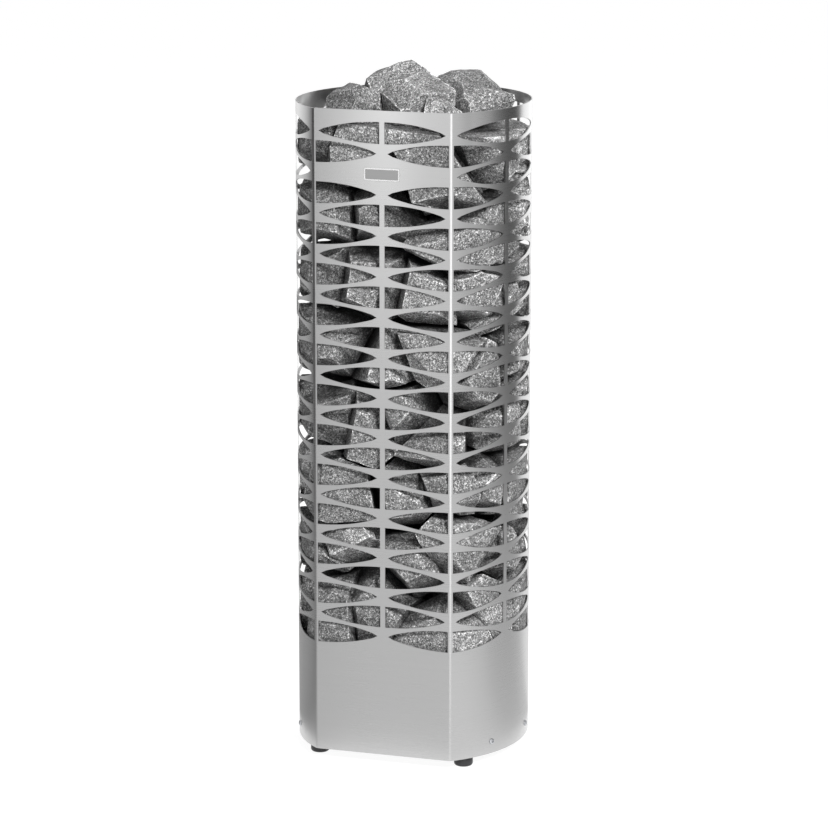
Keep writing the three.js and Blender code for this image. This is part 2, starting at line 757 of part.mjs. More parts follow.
function buildStarLink() {
  const top = linkZ + STAR_LINK_SHEET;
  const arms = linkedLegs.map(([x, y]) => {
    const length = Math.hypot(x, y) + STAR_LINK_WIDTH;
    const bar = roundedRectangle(length, STAR_LINK_WIDTH, STAR_LINK_WIDTH / 3);
    const arm = plate(bar, linkZ, top).translate(length / 2 - STAR_LINK_WIDTH / 2, 0, 0);
    return solid(arm.rotateZ(Math.atan2(y, x)));
  });
  const holes = linkedLegs.map(([x, y]) => bore(PIN_RADIUS, x, y, linkZ - CUT_OVER, top + CUT_OVER));
  return cut(arms.reduce((body, arm) => body.add(arm)), holes);
}

addMesh("star_link", geometryOf(buildStarLink()), BRASS);

// Bracket: foot on the tray, upright panel with the gland facing the opening in the skirt
const panelY = rearY - BRACKET_REAR_SETBACK;
const bracketZ = trayFloorZ + SEAT;
const panelTopZ = glandZ + GLAND_FLATS / 2 + STAR_LINK_WIDTH / 2;

function buildBracket() {
  const profile = new THREE.Shape();
  profile.moveTo(panelY, bracketZ);
  profile.lineTo(panelY, panelTopZ);
  profile.lineTo(panelY - BRACKET_SHEET, panelTopZ);
  profile.lineTo(panelY - BRACKET_SHEET, bracketZ + BRACKET_SHEET);
  profile.lineTo(panelY - BRACKET_BASE, bracketZ + BRACKET_SHEET);
  profile.lineTo(panelY - BRACKET_BASE, bracketZ);
  const bar = new THREE.ExtrudeGeometry(profile, { depth: BRACKET_WIDTH, bevelEnabled: false });
  bar.translate(0, 0, -BRACKET_WIDTH / 2);
  const axes = new THREE.Matrix4().makeBasis(new THREE.Vector3(0, 1, 0), UP, new THREE.Vector3(1, 0, 0));
  const hole = cylinder(clearRadius(GLAND_THREAD_RADIUS), -BRACKET_BASE / 2, BRACKET_BASE / 2);
  return solid(bar.applyMatrix4(axes)).subtract(solid(rearward(hole, panelY, glandZ)));
}

addMesh("terminal_bracket", geometryOf(buildBracket()), ZINC);

// Terminal block: a comb of open poles between ribs
const terminalZ = bracketZ + BRACKET_SHEET + SEAT;
const terminalTopZ = terminalZ + TERMINAL_HEIGHT;
const polePitch = (TERMINAL_LENGTH - TERMINAL_RIB) / TERMINAL_POLES;
const terminalY = panelY - BRACKET_SHEET - (BRACKET_BASE - BRACKET_SHEET) / 2;

function poleX(pole) {
  return (pole - (TERMINAL_POLES - 1) / 2) * polePitch;
}

function buildTerminal() {
  const shape = new THREE.Shape();
  const slotZ = TERMINAL_HEIGHT - TERMINAL_SLOT_DEPTH;
  const slotHalf = (polePitch - TERMINAL_RIB) / 2;
  shape.moveTo(-TERMINAL_LENGTH / 2, 0);
  shape.lineTo(-TERMINAL_LENGTH / 2, TERMINAL_HEIGHT);
  for (let pole = 0; pole < TERMINAL_POLES; pole += 1) {
    shape.lineTo(poleX(pole) - slotHalf, TERMINAL_HEIGHT);
    shape.lineTo(poleX(pole) - slotHalf, slotZ);
    shape.lineTo(poleX(pole) + slotHalf, slotZ);
    shape.lineTo(poleX(pole) + slotHalf, TERMINAL_HEIGHT);
  }
  shape.lineTo(TERMINAL_LENGTH / 2, TERMINAL_HEIGHT);
  shape.lineTo(TERMINAL_LENGTH / 2, 0);
  const comb = new THREE.ExtrudeGeometry(shape, { depth: TERMINAL_DEPTH, bevelEnabled: false });
  return comb.rotateX(Math.PI / 2).translate(0, terminalY + TERMINAL_DEPTH / 2, terminalZ);
}

addMesh("terminal_block", buildTerminal(), CERAMIC);

// Supply leads from the terminal poles up to the free leg of each element
leadLegs.forEach(([x, y], i) => {
  const startX = poleX(i + 1);
  const startZ = terminalTopZ - TERMINAL_SLOT_DEPTH + SEAT;
  const endZ = pinEndZ - SEAT;
  const riseZ = (startZ + endZ) / 2;
  const path = new THREE.CatmullRomCurve3([
    new THREE.Vector3(startX, terminalY, startZ),
    new THREE.Vector3(startX, terminalY, terminalTopZ + 2 * LEAD_RADIUS),
    new THREE.Vector3((startX + x) / 2, (terminalY + y) / 2, riseZ),
    new THREE.Vector3(x, y, endZ - TERMINAL_SLOT_DEPTH),
    new THREE.Vector3(x, y, endZ),
  ], false, "centripetal");
  const lead = new THREE.ExtrudeGeometry(circle(LEAD_RADIUS, SMALL_ROUND), {
    extrudePath: path, steps: LEAD_STEPS, bevelEnabled: false,
  });
  addMesh(`supply_lead_${i + 1}`, geometryOf(solid(lead)), LEAD_SLEEVE);
});

// Cable gland: body through the panel with its dome towards the skirt opening, and its nut inside
const glandInner = -BRACKET_SHEET - GLAND_NUT_DEPTH - 2 * SEAT;
const glandProfile = [
  [GLAND_BORE_RADIUS, glandInner],
  [GLAND_THREAD_RADIUS, glandInner],
  [GLAND_THREAD_RADIUS, SEAT],
  [GLAND_FLATS / 2, SEAT],
  [GLAND_FLATS / 2, GLAND_HEX_DEPTH],
  [GLAND_THREAD_RADIUS, GLAND_HEX_DEPTH + GLAND_DOME_LENGTH],
  [GLAND_BORE_RADIUS, GLAND_HEX_DEPTH + GLAND_DOME_LENGTH],
  [GLAND_BORE_RADIUS, glandInner],
];
addMesh("cable_gland", rearward(lathe(glandProfile), panelY, glandZ), BLACK_PLASTIC);

const glandNutOuter = -BRACKET_SHEET - SEAT;
const glandNut = solid(hexagon(GLAND_FLATS, glandNutOuter - GLAND_NUT_DEPTH, glandNutOuter))
  .subtract(bore(GLAND_THREAD_RADIUS, 0, 0, -BRACKET_BASE, BRACKET_BASE));
addMesh("gland_nut", rearward(geometryOf(glandNut), panelY, glandZ), BLACK_PLASTIC);

// Stones: broken rock faces are planes, so each stone is a block trimmed by planes
function chance(a, b) {
  const wave = Math.sin(a * 127.1 + b * 311.7) * 43758.5453;
  return wave - Math.floor(wave);
}

function between(low, high, a, b) {
  return low + (high - low) * chance(a, b);
}

// Keeps the side of the plane through the point that its normal points away from
function trim(body, normal, point, slack = 0) {
  const outward = normal.clone().normalize();
  return body.trimByPlane(outward.clone().negate().toArray(), -outward.dot(point) - slack);
}

function polar(angle, radius, z) {
  return new THREE.Vector3(radius * Math.cos(angle), radius * Math.sin(angle), z);
}

// Inner faces of the casing that stones stay clear of
const facetStep = (2 * Math.PI) / WALL_FACETS;
const facetBulge = halfWidth * (1 / Math.cos(facetStep / 2) - 1);
const sheetSag = (bayWidth / 2) ** 2 / (8 * (halfWidth - CASING_SHEET));
const wallInset = CASING_SHEET + sheetSag + STONE_GAP;
const wallPlanes = [{
  normal: new THREE.Vector3(0, -1, 0),
  point: new THREE.Vector3(0, frontY + wallInset, 0),
}];
for (let i = 0; i < WALL_FACETS; i += 1) {
  const angle = i * facetStep;
  const normal = new THREE.Vector3(
    Math.cos(angle) / halfWidth, Math.sin(angle) / CASING_REAR_DEPTH, 0,
  ).normalize();
  const touch = new THREE.Vector3(
    halfWidth * Math.cos(angle), sectionCentreY + CASING_REAR_DEPTH * Math.sin(angle), 0,
  );
  wallPlanes.push({ normal, point: touch.addScaledVector(normal, -wallInset - facetBulge) });
}

function clearOfWall(body) {
  return wallPlanes.reduce((rest, { normal, point }) => trim(rest, normal, point), body);
}

// Courses lie between dividing planes that lean a little, each towards another side
const stackBottomZ = floorZ + SEAT / 2;
const stackTopZ = rimZ - STACK_TOP_DROP;
const courseCount = Math.max(1, Math.round((stackTopZ - stackBottomZ) / COURSE_HEIGHT));
const courseHeight = (stackTopZ - stackBottomZ) / courseCount;
const goldenAngle = Math.PI * (3 - Math.sqrt(5));

function dividingPlane(level) {
  const lean = level === 0 ? 0 : THREE.MathUtils.degToRad(COURSE_TILT);
  const normal = new THREE.Vector3(
    Math.sin(lean) * Math.cos(level * goldenAngle),
    Math.sin(lean) * Math.sin(level * goldenAngle),
    Math.cos(lean),
  );
  return { normal, point: new THREE.Vector3(0, 0, stackBottomZ + level * courseHeight) };
}

function betweenCourses(body, course) {
  const under = dividingPlane(course);
  const over = dividingPlane(course + 1);
  const raised = trim(body, under.normal.clone().negate(), under.point, -SEAT / 2);
  return trim(raised, over.normal, over.point, -SEAT / 2);
}

// Space kept free round the elements, and how far the core reaches between them
const legReach = Math.hypot(ELEMENT_CIRCLE, legHalf) + ELEMENT_TUBE_RADIUS;
const ringInner = legReach + STONE_GAP;
const bushReach = Math.hypot(ELEMENT_CIRCLE, legHalf) + BUSH_FLATS / Math.sqrt(3);
const bushOuter = bushReach + STONE_GAP;
const coreOuter = ELEMENT_CIRCLE - ELEMENT_TUBE_RADIUS - STONE_GAP;
const bushInner = ELEMENT_CIRCLE - BUSH_FLATS / Math.sqrt(3) - STONE_GAP;
const coreReach = (Math.max(ringInner, bushOuter) + STONE_GAP) / Math.cos(Math.PI / (2 * ELEMENT_COUNT));

function block(centre, size) {
  return solid(new THREE.BoxGeometry(size, size, size).translate(centre.x, centre.y, centre.z));
}

function coreStone(course) {
  const centre = new THREE.Vector3(0, 0, stackBottomZ + (course + 0.5) * courseHeight);
  const inner = course === 0 ? bushInner : coreOuter;
  const outer = (course === 0 ? bushOuter : ringInner) + STONE_GAP;
  let stone = block(centre, CASING_WIDTH);
  for (const angle of elementAngles) {
    stone = trim(stone, polar(angle, 1, 0), polar(angle, inner, 0));
    stone = trim(stone, polar(angle + Math.PI, 1, 0), polar(angle + Math.PI, outer, 0));
  }
  return betweenCourses(stone, course);
}

// Stones against the wall, staggered from course to course and each moved a little out of its place
const stonePitch = (2 * halfPerimeter) / RING_STONES;
const stones = [];
for (let course = 0; course < courseCount; course += 1) {
  for (let i = 0; i < RING_STONES; i += 1) {
    const key = stones.length;
    const shift = COURSE_STAGGER * (course % 2) + between(-SIDE_SPREAD, SIDE_SPREAD, key, 0);
    const rise = course + 0.5 + between(-RISE_SPREAD, RISE_SPREAD, key, 1);
    const { point, normal } = sectionAt((i + shift) * stonePitch);
    point.addScaledVector(normal, -wallInset - STONE_DEPTH);
    stones.push({
      key,
      course,
      centre: new THREE.Vector3(point.x, point.y, stackBottomZ + rise * courseHeight),
      outward: new THREE.Vector3(normal.x, normal.y, 0),
    });
  }
}

function randomLean(most, key, first) {
  const [x, y, z] = [0, 1, 2].map((axis) => between(-most, most, key, first + axis));
  return new THREE.Vector3(x, y, z);
}

// Plane between two stones, with a lean and gap that are the same seen from either; those of one course touch
function parting(stone, other) {
  const [first, second] = stone.key < other.key ? [stone, other] : [other, stone];
  const pair = first.key * stones.length + second.key;
  const away = second.centre.clone().sub(first.centre);
  const normal = away.clone().normalize().add(randomLean(SIDE_LEAN, pair, 0)).normalize();
  const point = first.centre.clone().addScaledVector(away, 0.5);
  const apart = between(STONE_GAP, STONE_GAP_MOST, pair, stones.length) / 2;
  return {
    normal: stone === first ? normal : normal.negate(),
    point,
    slack: first.course === second.course ? STONE_JOIN : -apart,
  };
}

// Broken edge or face of a stone, at a random distance from its centre
function chip(body, { key, centre }, normal, least, most, edge) {
  const reach = between(least, most, key, edge + stones.length);
  return trim(body, normal, centre.clone().addScaledVector(normal, reach));
}

// One stone against the wall, its edges there broken off, with a heel that lies on the core
function pileStone(stone) {
  const { key, course, centre, outward } = stone;
  const size = between(SIZE_LEAST, SIZE_MOST, key, 2);
  let body = clearOfWall(block(centre, STONE_REACH));
  for (const other of stones) {
    const distance = other.centre.distanceTo(centre);
    if (other === stone || Math.abs(other.course - course) > 1 || distance > STONE_REACH) {
      continue;
    }
    const { normal, point, slack } = parting(stone, other);
    body = trim(body, normal, point, slack);
    if (distance < CORNER_REACH) {
      const swing = THREE.MathUtils.degToRad(between(CORNER_SWING_LEAST, CORNER_SWING_MOST, key, other.key));
      const across = normal.clone().projectOnPlane(outward).normalize();
      const slope = outward.clone().multiplyScalar(Math.cos(swing)).addScaledVector(across, Math.sin(swing));
      body = chip(body, stone, slope, size * CORNER_TRIM_LEAST, size * CORNER_TRIM_MOST, other.key);
    }
  }
  const face = outward.clone().add(randomLean(FACE_LEAN, key, 0)).normalize();
  body = chip(body, stone, face, FACE_LEAST, FACE_MOST, key);
  const bottom = dividingPlane(0);
  const top = dividingPlane(courseCount);
  body = trim(body, bottom.normal.clone().negate(), bottom.point, -SEAT / 2);
  body = trim(body, top.normal, top.point, -SEAT / 2);
  const radial = new THREE.Vector3(centre.x, centre.y, 0).normalize();
  const inward = radial.clone().negate();
  const ring = trim(body, inward, radial.clone().multiplyScalar(coreReach + STONE_GAP));
  const inner = course === 0 ? bushOuter : ringInner;
  const heel = trim(body, inward, radial.clone().multiplyScalar(inner));
  return ring.add(betweenCourses(heel, course));
}

for (let course = 0; course < courseCount; course += 1) {
  let pile = coreStone(course);
  for (const stone of stones.filter((one) => one.course === course)) {
    pile = pile.add(pileStone(stone));
  }
  addMesh(`stone_course_${course + 1}`, geometryOf(pile), STONE);
}

// Loose stones heaped on the top course. Place in shares of the section's half sizes and, above the rim,
// of a stone; half sizes in shares of a stone; the broken top falls away by lean degrees towards fall degrees
const heap = [
  { name: "front", place: [0.13, -0.46, 0], half: [0.54, 0.46, 0.41], lean: 14, fall: 198 },
  { name: "left", place: [-0.35, -0.62, -0.06], half: [0.42, 0.36, 0.35], lean: 17, fall: 205 },
  { name: "middle", place: [-0.2, 0.06, 0.04], half: [0.48, 0.4, 0.41], lean: 24, fall: 198 },
  { name: "back_left", place: [-0.4, 0.5, -0.2], half: [0.5, 0.45, 0.3], lean: 8, fall: 120 },
  { name: "back_right", place: [0.36, 0.34, -0.02], half: [0.54, 0.42, 0.33], lean: 2, fall: 18 },
  { name: "right", place: [0.56, -0.17, -0.06], half: [0.42, 0.46, 0.29], lean: 12, fall: 30 },
  { name: "small", place: [0.4, -0.67, -0.14], half: [0.24, 0.22, 0.28], lean: 20, fall: 300 },
];

function heapCentre({ place }) {
  const [x, y, z] = place;
  return new THREE.Vector3(x * halfWidth, (y * casingDepth) / 2, rimZ + z * HEAP_STONE);
}

// Broken rock: a block trimmed by faces spread all round it, at uneven distances
function brokenRock(centre, half, key) {
  const twist = THREE.MathUtils.degToRad(ROCK_TWIST);
  let rock = block(centre, CASING_WIDTH);
  for (let face = 0; face < ROCK_FACES; face += 1) {
    const height = 1 - (2 * face + 1) / ROCK_FACES;
    const angle = face * goldenAngle + between(-twist, twist, key, face) + key;
    const flat = Math.sqrt(1 - height ** 2);
    const normal = new THREE.Vector3(flat * Math.cos(angle), flat * Math.sin(angle), height);
    const reach = normal.clone().multiply(half).length() * between(ROCK_CUT, 1, key, face + ROCK_FACES);
    rock = trim(rock, normal, centre.clone().addScaledVector(normal, reach));
  }
  return rock;
}

function heapStone(loose, key) {
  const centre = heapCentre(loose);
  const half = new THREE.Vector3(...loose.half).multiplyScalar(HEAP_STONE);
  const lean = THREE.MathUtils.degToRad(loose.lean);
  const crown = polar(THREE.MathUtils.degToRad(loose.fall), Math.sin(lean), Math.cos(lean));
  let stone = clearOfWall(brokenRock(centre, half, key));
  stone = trim(stone, crown, centre.clone().addScaledVector(UP, half.z));
  const bed = dividingPlane(courseCount);
  stone = trim(stone, bed.normal.clone().negate(), bed.point, -SEAT / 2);
  for (const other of heap) {
    if (other !== loose) {
      const away = heapCentre(other).sub(centre);
      const share = loose.half[0] / (loose.half[0] + other.half[0]);
      stone = trim(stone, away, centre.clone().addScaledVector(away, share), -SEAT / 2);
    }
  }
  return stone;
}

heap.forEach((loose, key) => {
  addMesh(`top_stone_${loose.name}`, geometryOf(heapStone(loose, key)), STONE);
});

export default heater;
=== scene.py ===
"""Looks of the tower sauna heater: casing, feet, screws, badge plate, stones and studio."""

import math

import bmesh
import bpy
import numpy as np
from mathutils import Matrix, Vector, noise


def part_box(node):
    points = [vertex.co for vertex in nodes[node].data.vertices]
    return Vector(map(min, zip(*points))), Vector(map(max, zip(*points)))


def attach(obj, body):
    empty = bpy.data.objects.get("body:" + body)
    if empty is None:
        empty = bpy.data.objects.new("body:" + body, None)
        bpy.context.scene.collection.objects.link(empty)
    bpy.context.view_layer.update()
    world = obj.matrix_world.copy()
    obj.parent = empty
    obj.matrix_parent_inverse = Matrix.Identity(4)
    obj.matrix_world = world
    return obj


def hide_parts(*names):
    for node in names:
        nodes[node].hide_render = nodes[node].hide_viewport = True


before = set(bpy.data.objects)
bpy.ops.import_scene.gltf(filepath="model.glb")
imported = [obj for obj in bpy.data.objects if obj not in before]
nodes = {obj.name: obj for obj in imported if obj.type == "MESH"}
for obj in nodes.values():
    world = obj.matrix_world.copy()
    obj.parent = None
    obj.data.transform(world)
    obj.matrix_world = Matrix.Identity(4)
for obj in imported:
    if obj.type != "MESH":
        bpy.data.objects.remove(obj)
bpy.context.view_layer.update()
scene = bpy.context.scene

# Sizes of the casing, as in the solids, in metres
WIDTH = 0.330
REAR_DEPTH = 0.179
HEIGHT = 0.920
SHEET = 0.0015
FRONT_WIDTH = 0.200
GROUND_GAP = 0.016
ROW_PITCH = 0.0572
FIRST_ROW_DROP = 0.0309
LENS_HEIGHT = 0.0293
BAR_WIDTH = 0.0073
TIP_WEB = 0.0044
EDGE_EASE = 0.0015
SKIRT = 0.156
BADGE_ROW = 1
OPENING_RADIUS = 0.017
OPENING_Z = 0.069
OPENING_SIDES = 32
OPENING_FRAME = 1.3
BEND_REACH = 0.0026
FRONT_BOW = math.radians(3.0)

BAY = FRONT_WIDTH / 2
HALF_WIDTH = WIDTH / 2
CORNER = -math.acos(FRONT_WIDTH / WIDTH)
FRONT_DEPTH = -REAR_DEPTH * math.sin(CORNER)
CENTRE_Y = (FRONT_DEPTH - REAR_DEPTH) / 2
FRONT_Y = -(REAR_DEPTH + FRONT_DEPTH) / 2
RIM_Z = GROUND_GAP + HEIGHT

# Arc length along the right flank, from the bend to the middle of the back
angles = np.linspace(CORNER, math.pi / 2, 6001)
flank_x = HALF_WIDTH * np.cos(angles)
flank_y = CENTRE_Y + REAR_DEPTH * np.sin(angles)
lengths = np.concatenate([[0], np.cumsum(np.hypot(np.diff(flank_x), np.diff(flank_y)))])
HALF_PERIMETER = BAY + lengths[-1]
BAYS = int((HALF_PERIMETER - BAR_WIDTH) // BAY)


def flank(length):
    angle = float(np.interp(length, lengths, angles))
    point = Vector((HALF_WIDTH * math.cos(angle), CENTRE_Y + REAR_DEPTH * math.sin(angle)))
    normal = Vector((REAR_DEPTH * math.cos(angle), HALF_WIDTH * math.sin(angle))).normalized()
    return point, normal


def section(run):
    """Point and outward normal of the casing's outer face.

    The run goes along the sheet from the middle of the front, positive to the right.
    """
    if run > HALF_PERIMETER:
        run -= 2 * HALF_PERIMETER
    side = -1 if run < 0 else 1
    run = abs(run)
    if run <= BAY - BEND_REACH:
        bow = FRONT_BOW * run / BAY
        point, normal = Vector((run, FRONT_Y)), Vector((math.sin(bow), -math.cos(bow)))
    elif run >= BAY + BEND_REACH:
        point, normal = flank(run - BAY)
    else:
        start, corner = Vector((BAY - BEND_REACH, FRONT_Y)), Vector((BAY, FRONT_Y))
        end = flank(BEND_REACH)[0]
        t = (run - BAY + BEND_REACH) / (2 * BEND_REACH)
        point = start * (1 - t) ** 2 + corner * 2 * t * (1 - t) + end * t ** 2
        along = (corner - start) * (1 - t) + (end - corner) * t
        normal = Vector((along.y, -along.x)).normalized()
    return Vector((side * point.x, point.y)), Vector((side * normal.x, normal.y))


# Materials

# Brushed grain: changes per metre along and across it
FINE_ALONG, FINE_ACROSS = 14, 2600
BROAD_ALONG, BROAD_ACROSS = 3, 160


def new_material(name):
    material = bpy.data.materials.new(name)
    material.use_nodes = True
    tree = material.node_tree
    return material, tree, tree.nodes["Principled BSDF"]


def add(tree, kind, inputs=None, **settings):
    node = tree.nodes.new(kind)
    for key, value in settings.items():
        setattr(node, key, value)
    for key, value in (inputs or {}).items():
        node.inputs[key].default_value = value
    return node


def ramp(tree, factor, stops):
    node = tree.nodes.new("ShaderNodeValToRGB")
    elements = node.color_ramp.elements
    while len(elements) < len(stops):
        elements.new(0.5)
    for element, (position, level) in zip(elements, stops):
        element.position = position
        element.color = (*level, 1) if isinstance(level, tuple) else (level, level, level, 1)
    tree.links.new(factor, node.inputs["Fac"])
    return node.outputs["Color"]


def span(tree, value, low, high):
    node = add(tree, "ShaderNodeMapRange", {"To Min": low, "To Max": high})
    tree.links.new(value, node.inputs["Value"])
    return node.outputs["Result"]


def bump(tree, shader, height, strength, distance):
    node = add(tree, "ShaderNodeBump", {"Strength": strength, "Distance": distance})
    tree.links.new(height, node.inputs["Height"])
    tree.links.new(node.outputs["Normal"], shader.inputs["Normal"])


def scaled(tree, source, scale):
    node = add(tree, "ShaderNodeMapping", {"Scale": scale})
    tree.links.new(source, node.inputs["Vector"])
    return node.outputs["Vector"]


def noise_of(tree, vector, scale, detail=4.0, roughness=0.55):
    inputs = {"Scale": scale, "Detail": detail, "Roughness": roughness}
    node = add(tree, "ShaderNodeTexNoise", inputs)
    tree.links.new(vector, node.inputs["Vector"])
    return node.outputs["Fac"]


def brushed_steel(name, level, roughness, flat_map):
    """Satin sheet with fine level grain.

    The casing carries a flat map of run and height; other pieces use their place.
    """
    material, tree, shader = new_material(name)
    shader.inputs["Metallic"].default_value = 1.0
    shader.inputs["Anisotropic"].default_value = 0.85
    shader.inputs["Anisotropic Rotation"].default_value = 0.25
    coordinates = add(tree, "ShaderNodeTexCoord")
    if flat_map:
        source = coordinates.outputs["UV"]
        grain = scaled(tree, source, (FINE_ALONG, FINE_ACROSS, 1))
        streak = scaled(tree, source, (BROAD_ALONG, BROAD_ACROSS, 1))
        tangent = add(tree, "ShaderNodeTangent", direction_type="UV_MAP")
    else:
        source = coordinates.outputs["Object"]
        grain = scaled(tree, source, (FINE_ALONG, FINE_ALONG, FINE_ACROSS))
        streak = scaled(tree, source, (BROAD_ALONG, BROAD_ALONG, BROAD_ACROSS))
        tangent = add(tree, "ShaderNodeTangent", direction_type="RADIAL", axis="Z")
    tree.links.new(tangent.outputs["Tangent"], shader.inputs["Tangent"])
    fine = noise_of(tree, grain, 1.0, detail=3.0)
    broad = noise_of(tree, streak, 1.0, detail=2.0)
    handled = noise_of(tree, source, 7.0, detail=3.0)
    tone = add(tree, "ShaderNodeMath", operation="ADD")
    tree.links.new(fine, tone.inputs[0])
    tree.links.new(broad, tone.inputs[1])
    half = add(tree, "ShaderNodeMath", {1: 0.5}, operation="MULTIPLY")
    tree.links.new(tone.outputs[0], half.inputs[0])
    dull, bright = level * 0.985, level * 1.015
    colour = ramp(tree, half.outputs[0], [(0.3, dull), (0.7, bright)])
    tree.links.new(colour, shader.inputs["Base Color"])
    uneven = add(tree, "ShaderNodeMath", operation="ADD")
    tree.links.new(span(tree, fine, roughness - 0.02, roughness + 0.02), uneven.inputs[0])
    tree.links.new(span(tree, handled, -0.012, 0.012), uneven.inputs[1])
    tree.links.new(uneven.outputs[0], shader.inputs["Roughness"])
    bump(tree, shader, fine, strength=0.03, distance=0.0003)
    return material


def plain_surface(name, colour, roughness, metallic=1.0, scale=90.0, depth=0.15):
    """Plated, painted or moulded surface: mottled colour and gloss with a faint texture."""
    material, tree, shader = new_material(name)
    shader.inputs["Metallic"].default_value = metallic
    place = add(tree, "ShaderNodeTexCoord").outputs["Object"]
    mottle = noise_of(tree, place, scale, detail=5.0)
    grain = noise_of(tree, place, scale * 9, detail=3.0)
    dark = tuple(c * (1 - depth) for c in colour)
    light = tuple(min(1.0, c * (1 + depth)) for c in colour)
    tree.links.new(ramp(tree, mottle, [(0.3, dark), (0.7, light)]), shader.inputs["Base Color"])
    gloss = span(tree, mottle, roughness - 0.08, roughness + 0.08)
    tree.links.new(gloss, shader.inputs["Roughness"])
    bump(tree, shader, grain, strength=0.12, distance=0.0004)
    return material


def rock():
    """Broken dark igneous rock: mottled grey with pale and black grains and a gritty surface.

    The points' tone sets a stone's own grey. The edge measure lightens broken edges, partly as
    wear and partly as painted highlight, and darkens grooves as painted shade; the depth measure
    darkens the gaps between stones as painted shade.
    """
    material, tree, shader = new_material("rock")
    place = add(tree, "ShaderNodeTexCoord").outputs["Object"]
    mottle = noise_of(tree, place, 26.0, detail=6.0, roughness=0.6)
    grains = add(tree, "ShaderNodeTexVoronoi", {"Scale": 760.0, "Randomness": 1.0})
    crystals = add(tree, "ShaderNodeTexVoronoi", {"Scale": 400.0, "Randomness": 1.0})
    grit = noise_of(tree, place, 420.0, detail=4.0, roughness=0.7)
    for texture in (grains, crystals):
        tree.links.new(place, texture.inputs["Vector"])
    base = ramp(tree, mottle, [(0.28, 0.095), (0.5, 0.14), (0.74, 0.2)])
    grain_levels = [(0.1, 0.28), (0.35, 0.78), (0.6, 1.05), (0.9, 2.8)]
    speck = ramp(tree, grains.outputs["Color"], grain_levels)
    shard = ramp(tree, crystals.outputs["Color"], [(0.15, 0.56), (0.5, 1.0), (0.9, 1.6)])
    tone = add(tree, "ShaderNodeAttribute", attribute_name="tone")
    shade = ramp(tree, tone.outputs["Fac"], [(0.0, 0.74), (1.0, 1.25)])
    # Painted shade in the grooves, down to 0.55, and edges lightened up to twice, partly as wear
    # and partly as painted highlight
    wear_and_shade = add(tree, "ShaderNodeAttribute", attribute_name="wear_and_shade")
    edge = ramp(tree, wear_and_shade.outputs["Fac"], [(0.0, 0.55), (0.5, 1.0), (1.0, 2.0)])
    # Painted shade: points deep between the stones are darkened down to 0.12 of their colour
    deep = add(tree, "ShaderNodeAttribute", attribute_name="deep")
    painted_gap_shade = ramp(tree, deep.outputs["Fac"], [(0.0, 1.0), (0.35, 0.75), (1.0, 0.12)])
    colour = base
    for factor in (speck, shard, shade, edge, painted_gap_shade):
        mix = add(tree, "ShaderNodeMix", {0: 1.0}, data_type="RGBA", blend_type="MULTIPLY")
        tree.links.new(colour, mix.inputs["A"])
        tree.links.new(factor, mix.inputs["B"])
        colour = mix.outputs["Result"]
    tree.links.new(colour, shader.inputs["Base Color"])
    tree.links.new(span(tree, grit, 0.72, 1.0), shader.inputs["Roughness"])
    shader.inputs["Specular IOR Level"].default_value = 0.35
    bump(tree, shader, grit, strength=0.7, distance=0.0022)
    return material


STEEL = brushed_steel("brushed_steel", level=0.54, roughness=0.28, flat_map=True)
BADGE_STEEL = plain_surface("badge_steel", (0.74, 0.74, 0.74), 0.26, scale=200.0, depth=0.05)
BADGE_FIELD = brushed_steel("badge_field", level=0.33, roughness=0.34, flat_map=False)
ZINC = plain_surface("zinc_plated", (0.52, 0.53, 0.55), 0.38)
DARK_STEEL = plain_surface("dark_sheet", (0.075, 0.076, 0.08), 0.42, metallic=0.6, scale=40.0)
ELEMENT = plain_surface(
    "element_tube", (0.11, 0.105, 0.1), 0.5, metallic=0.85, scale=60.0, depth=0.35
)
BRASS = plain_surface("brass", (0.6, 0.44, 0.2), 0.36)
CERAMIC = plain_surface("ceramic", (0.74, 0.71, 0.64), 0.6, metallic=0.0, scale=60.0, depth=0.06)
SLEEVE = plain_surface("lead_sleeve", (0.3, 0.29, 0.27), 0.8, metallic=0.0, scale=300.0, depth=0.2)
PLASTIC = plain_surface(
    "black_plastic", (0.016, 0.016, 0.018), 0.42, metallic=0.0, scale=120.0, depth=0.2
)
ROCK = rock()

node_materials = {
    "base_tray": DARK_STEEL,
    "stone_floor": DARK_STEEL,
    "heat_shield": ZINC,
    "floor_post": ZINC,
    "weld_nut": ZINC,
    "foot_stud": ZINC,
    "heating_element": ELEMENT,
    "element_nut": BRASS,
    "star_link": BRASS,
    "terminal_bracket": ZINC,
    "terminal_block": CERAMIC,
    "supply_lead": SLEEVE,
    "cable_gland": PLASTIC,
    "gland_nut": PLASTIC,
}
for name, node in nodes.items():
    for prefix, material in node_materials.items():
        if name.startswith(prefix):
            node.data.materials.clear()
            node.data.materials.append(material)


def piece(name, mesh, body, replaced, material):
    obj = bpy.data.objects.new(name, mesh)
    scene.collection.objects.link(obj)
    obj.data.materials.append(material)
    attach(obj, body)
    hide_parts(*replaced)
    return obj


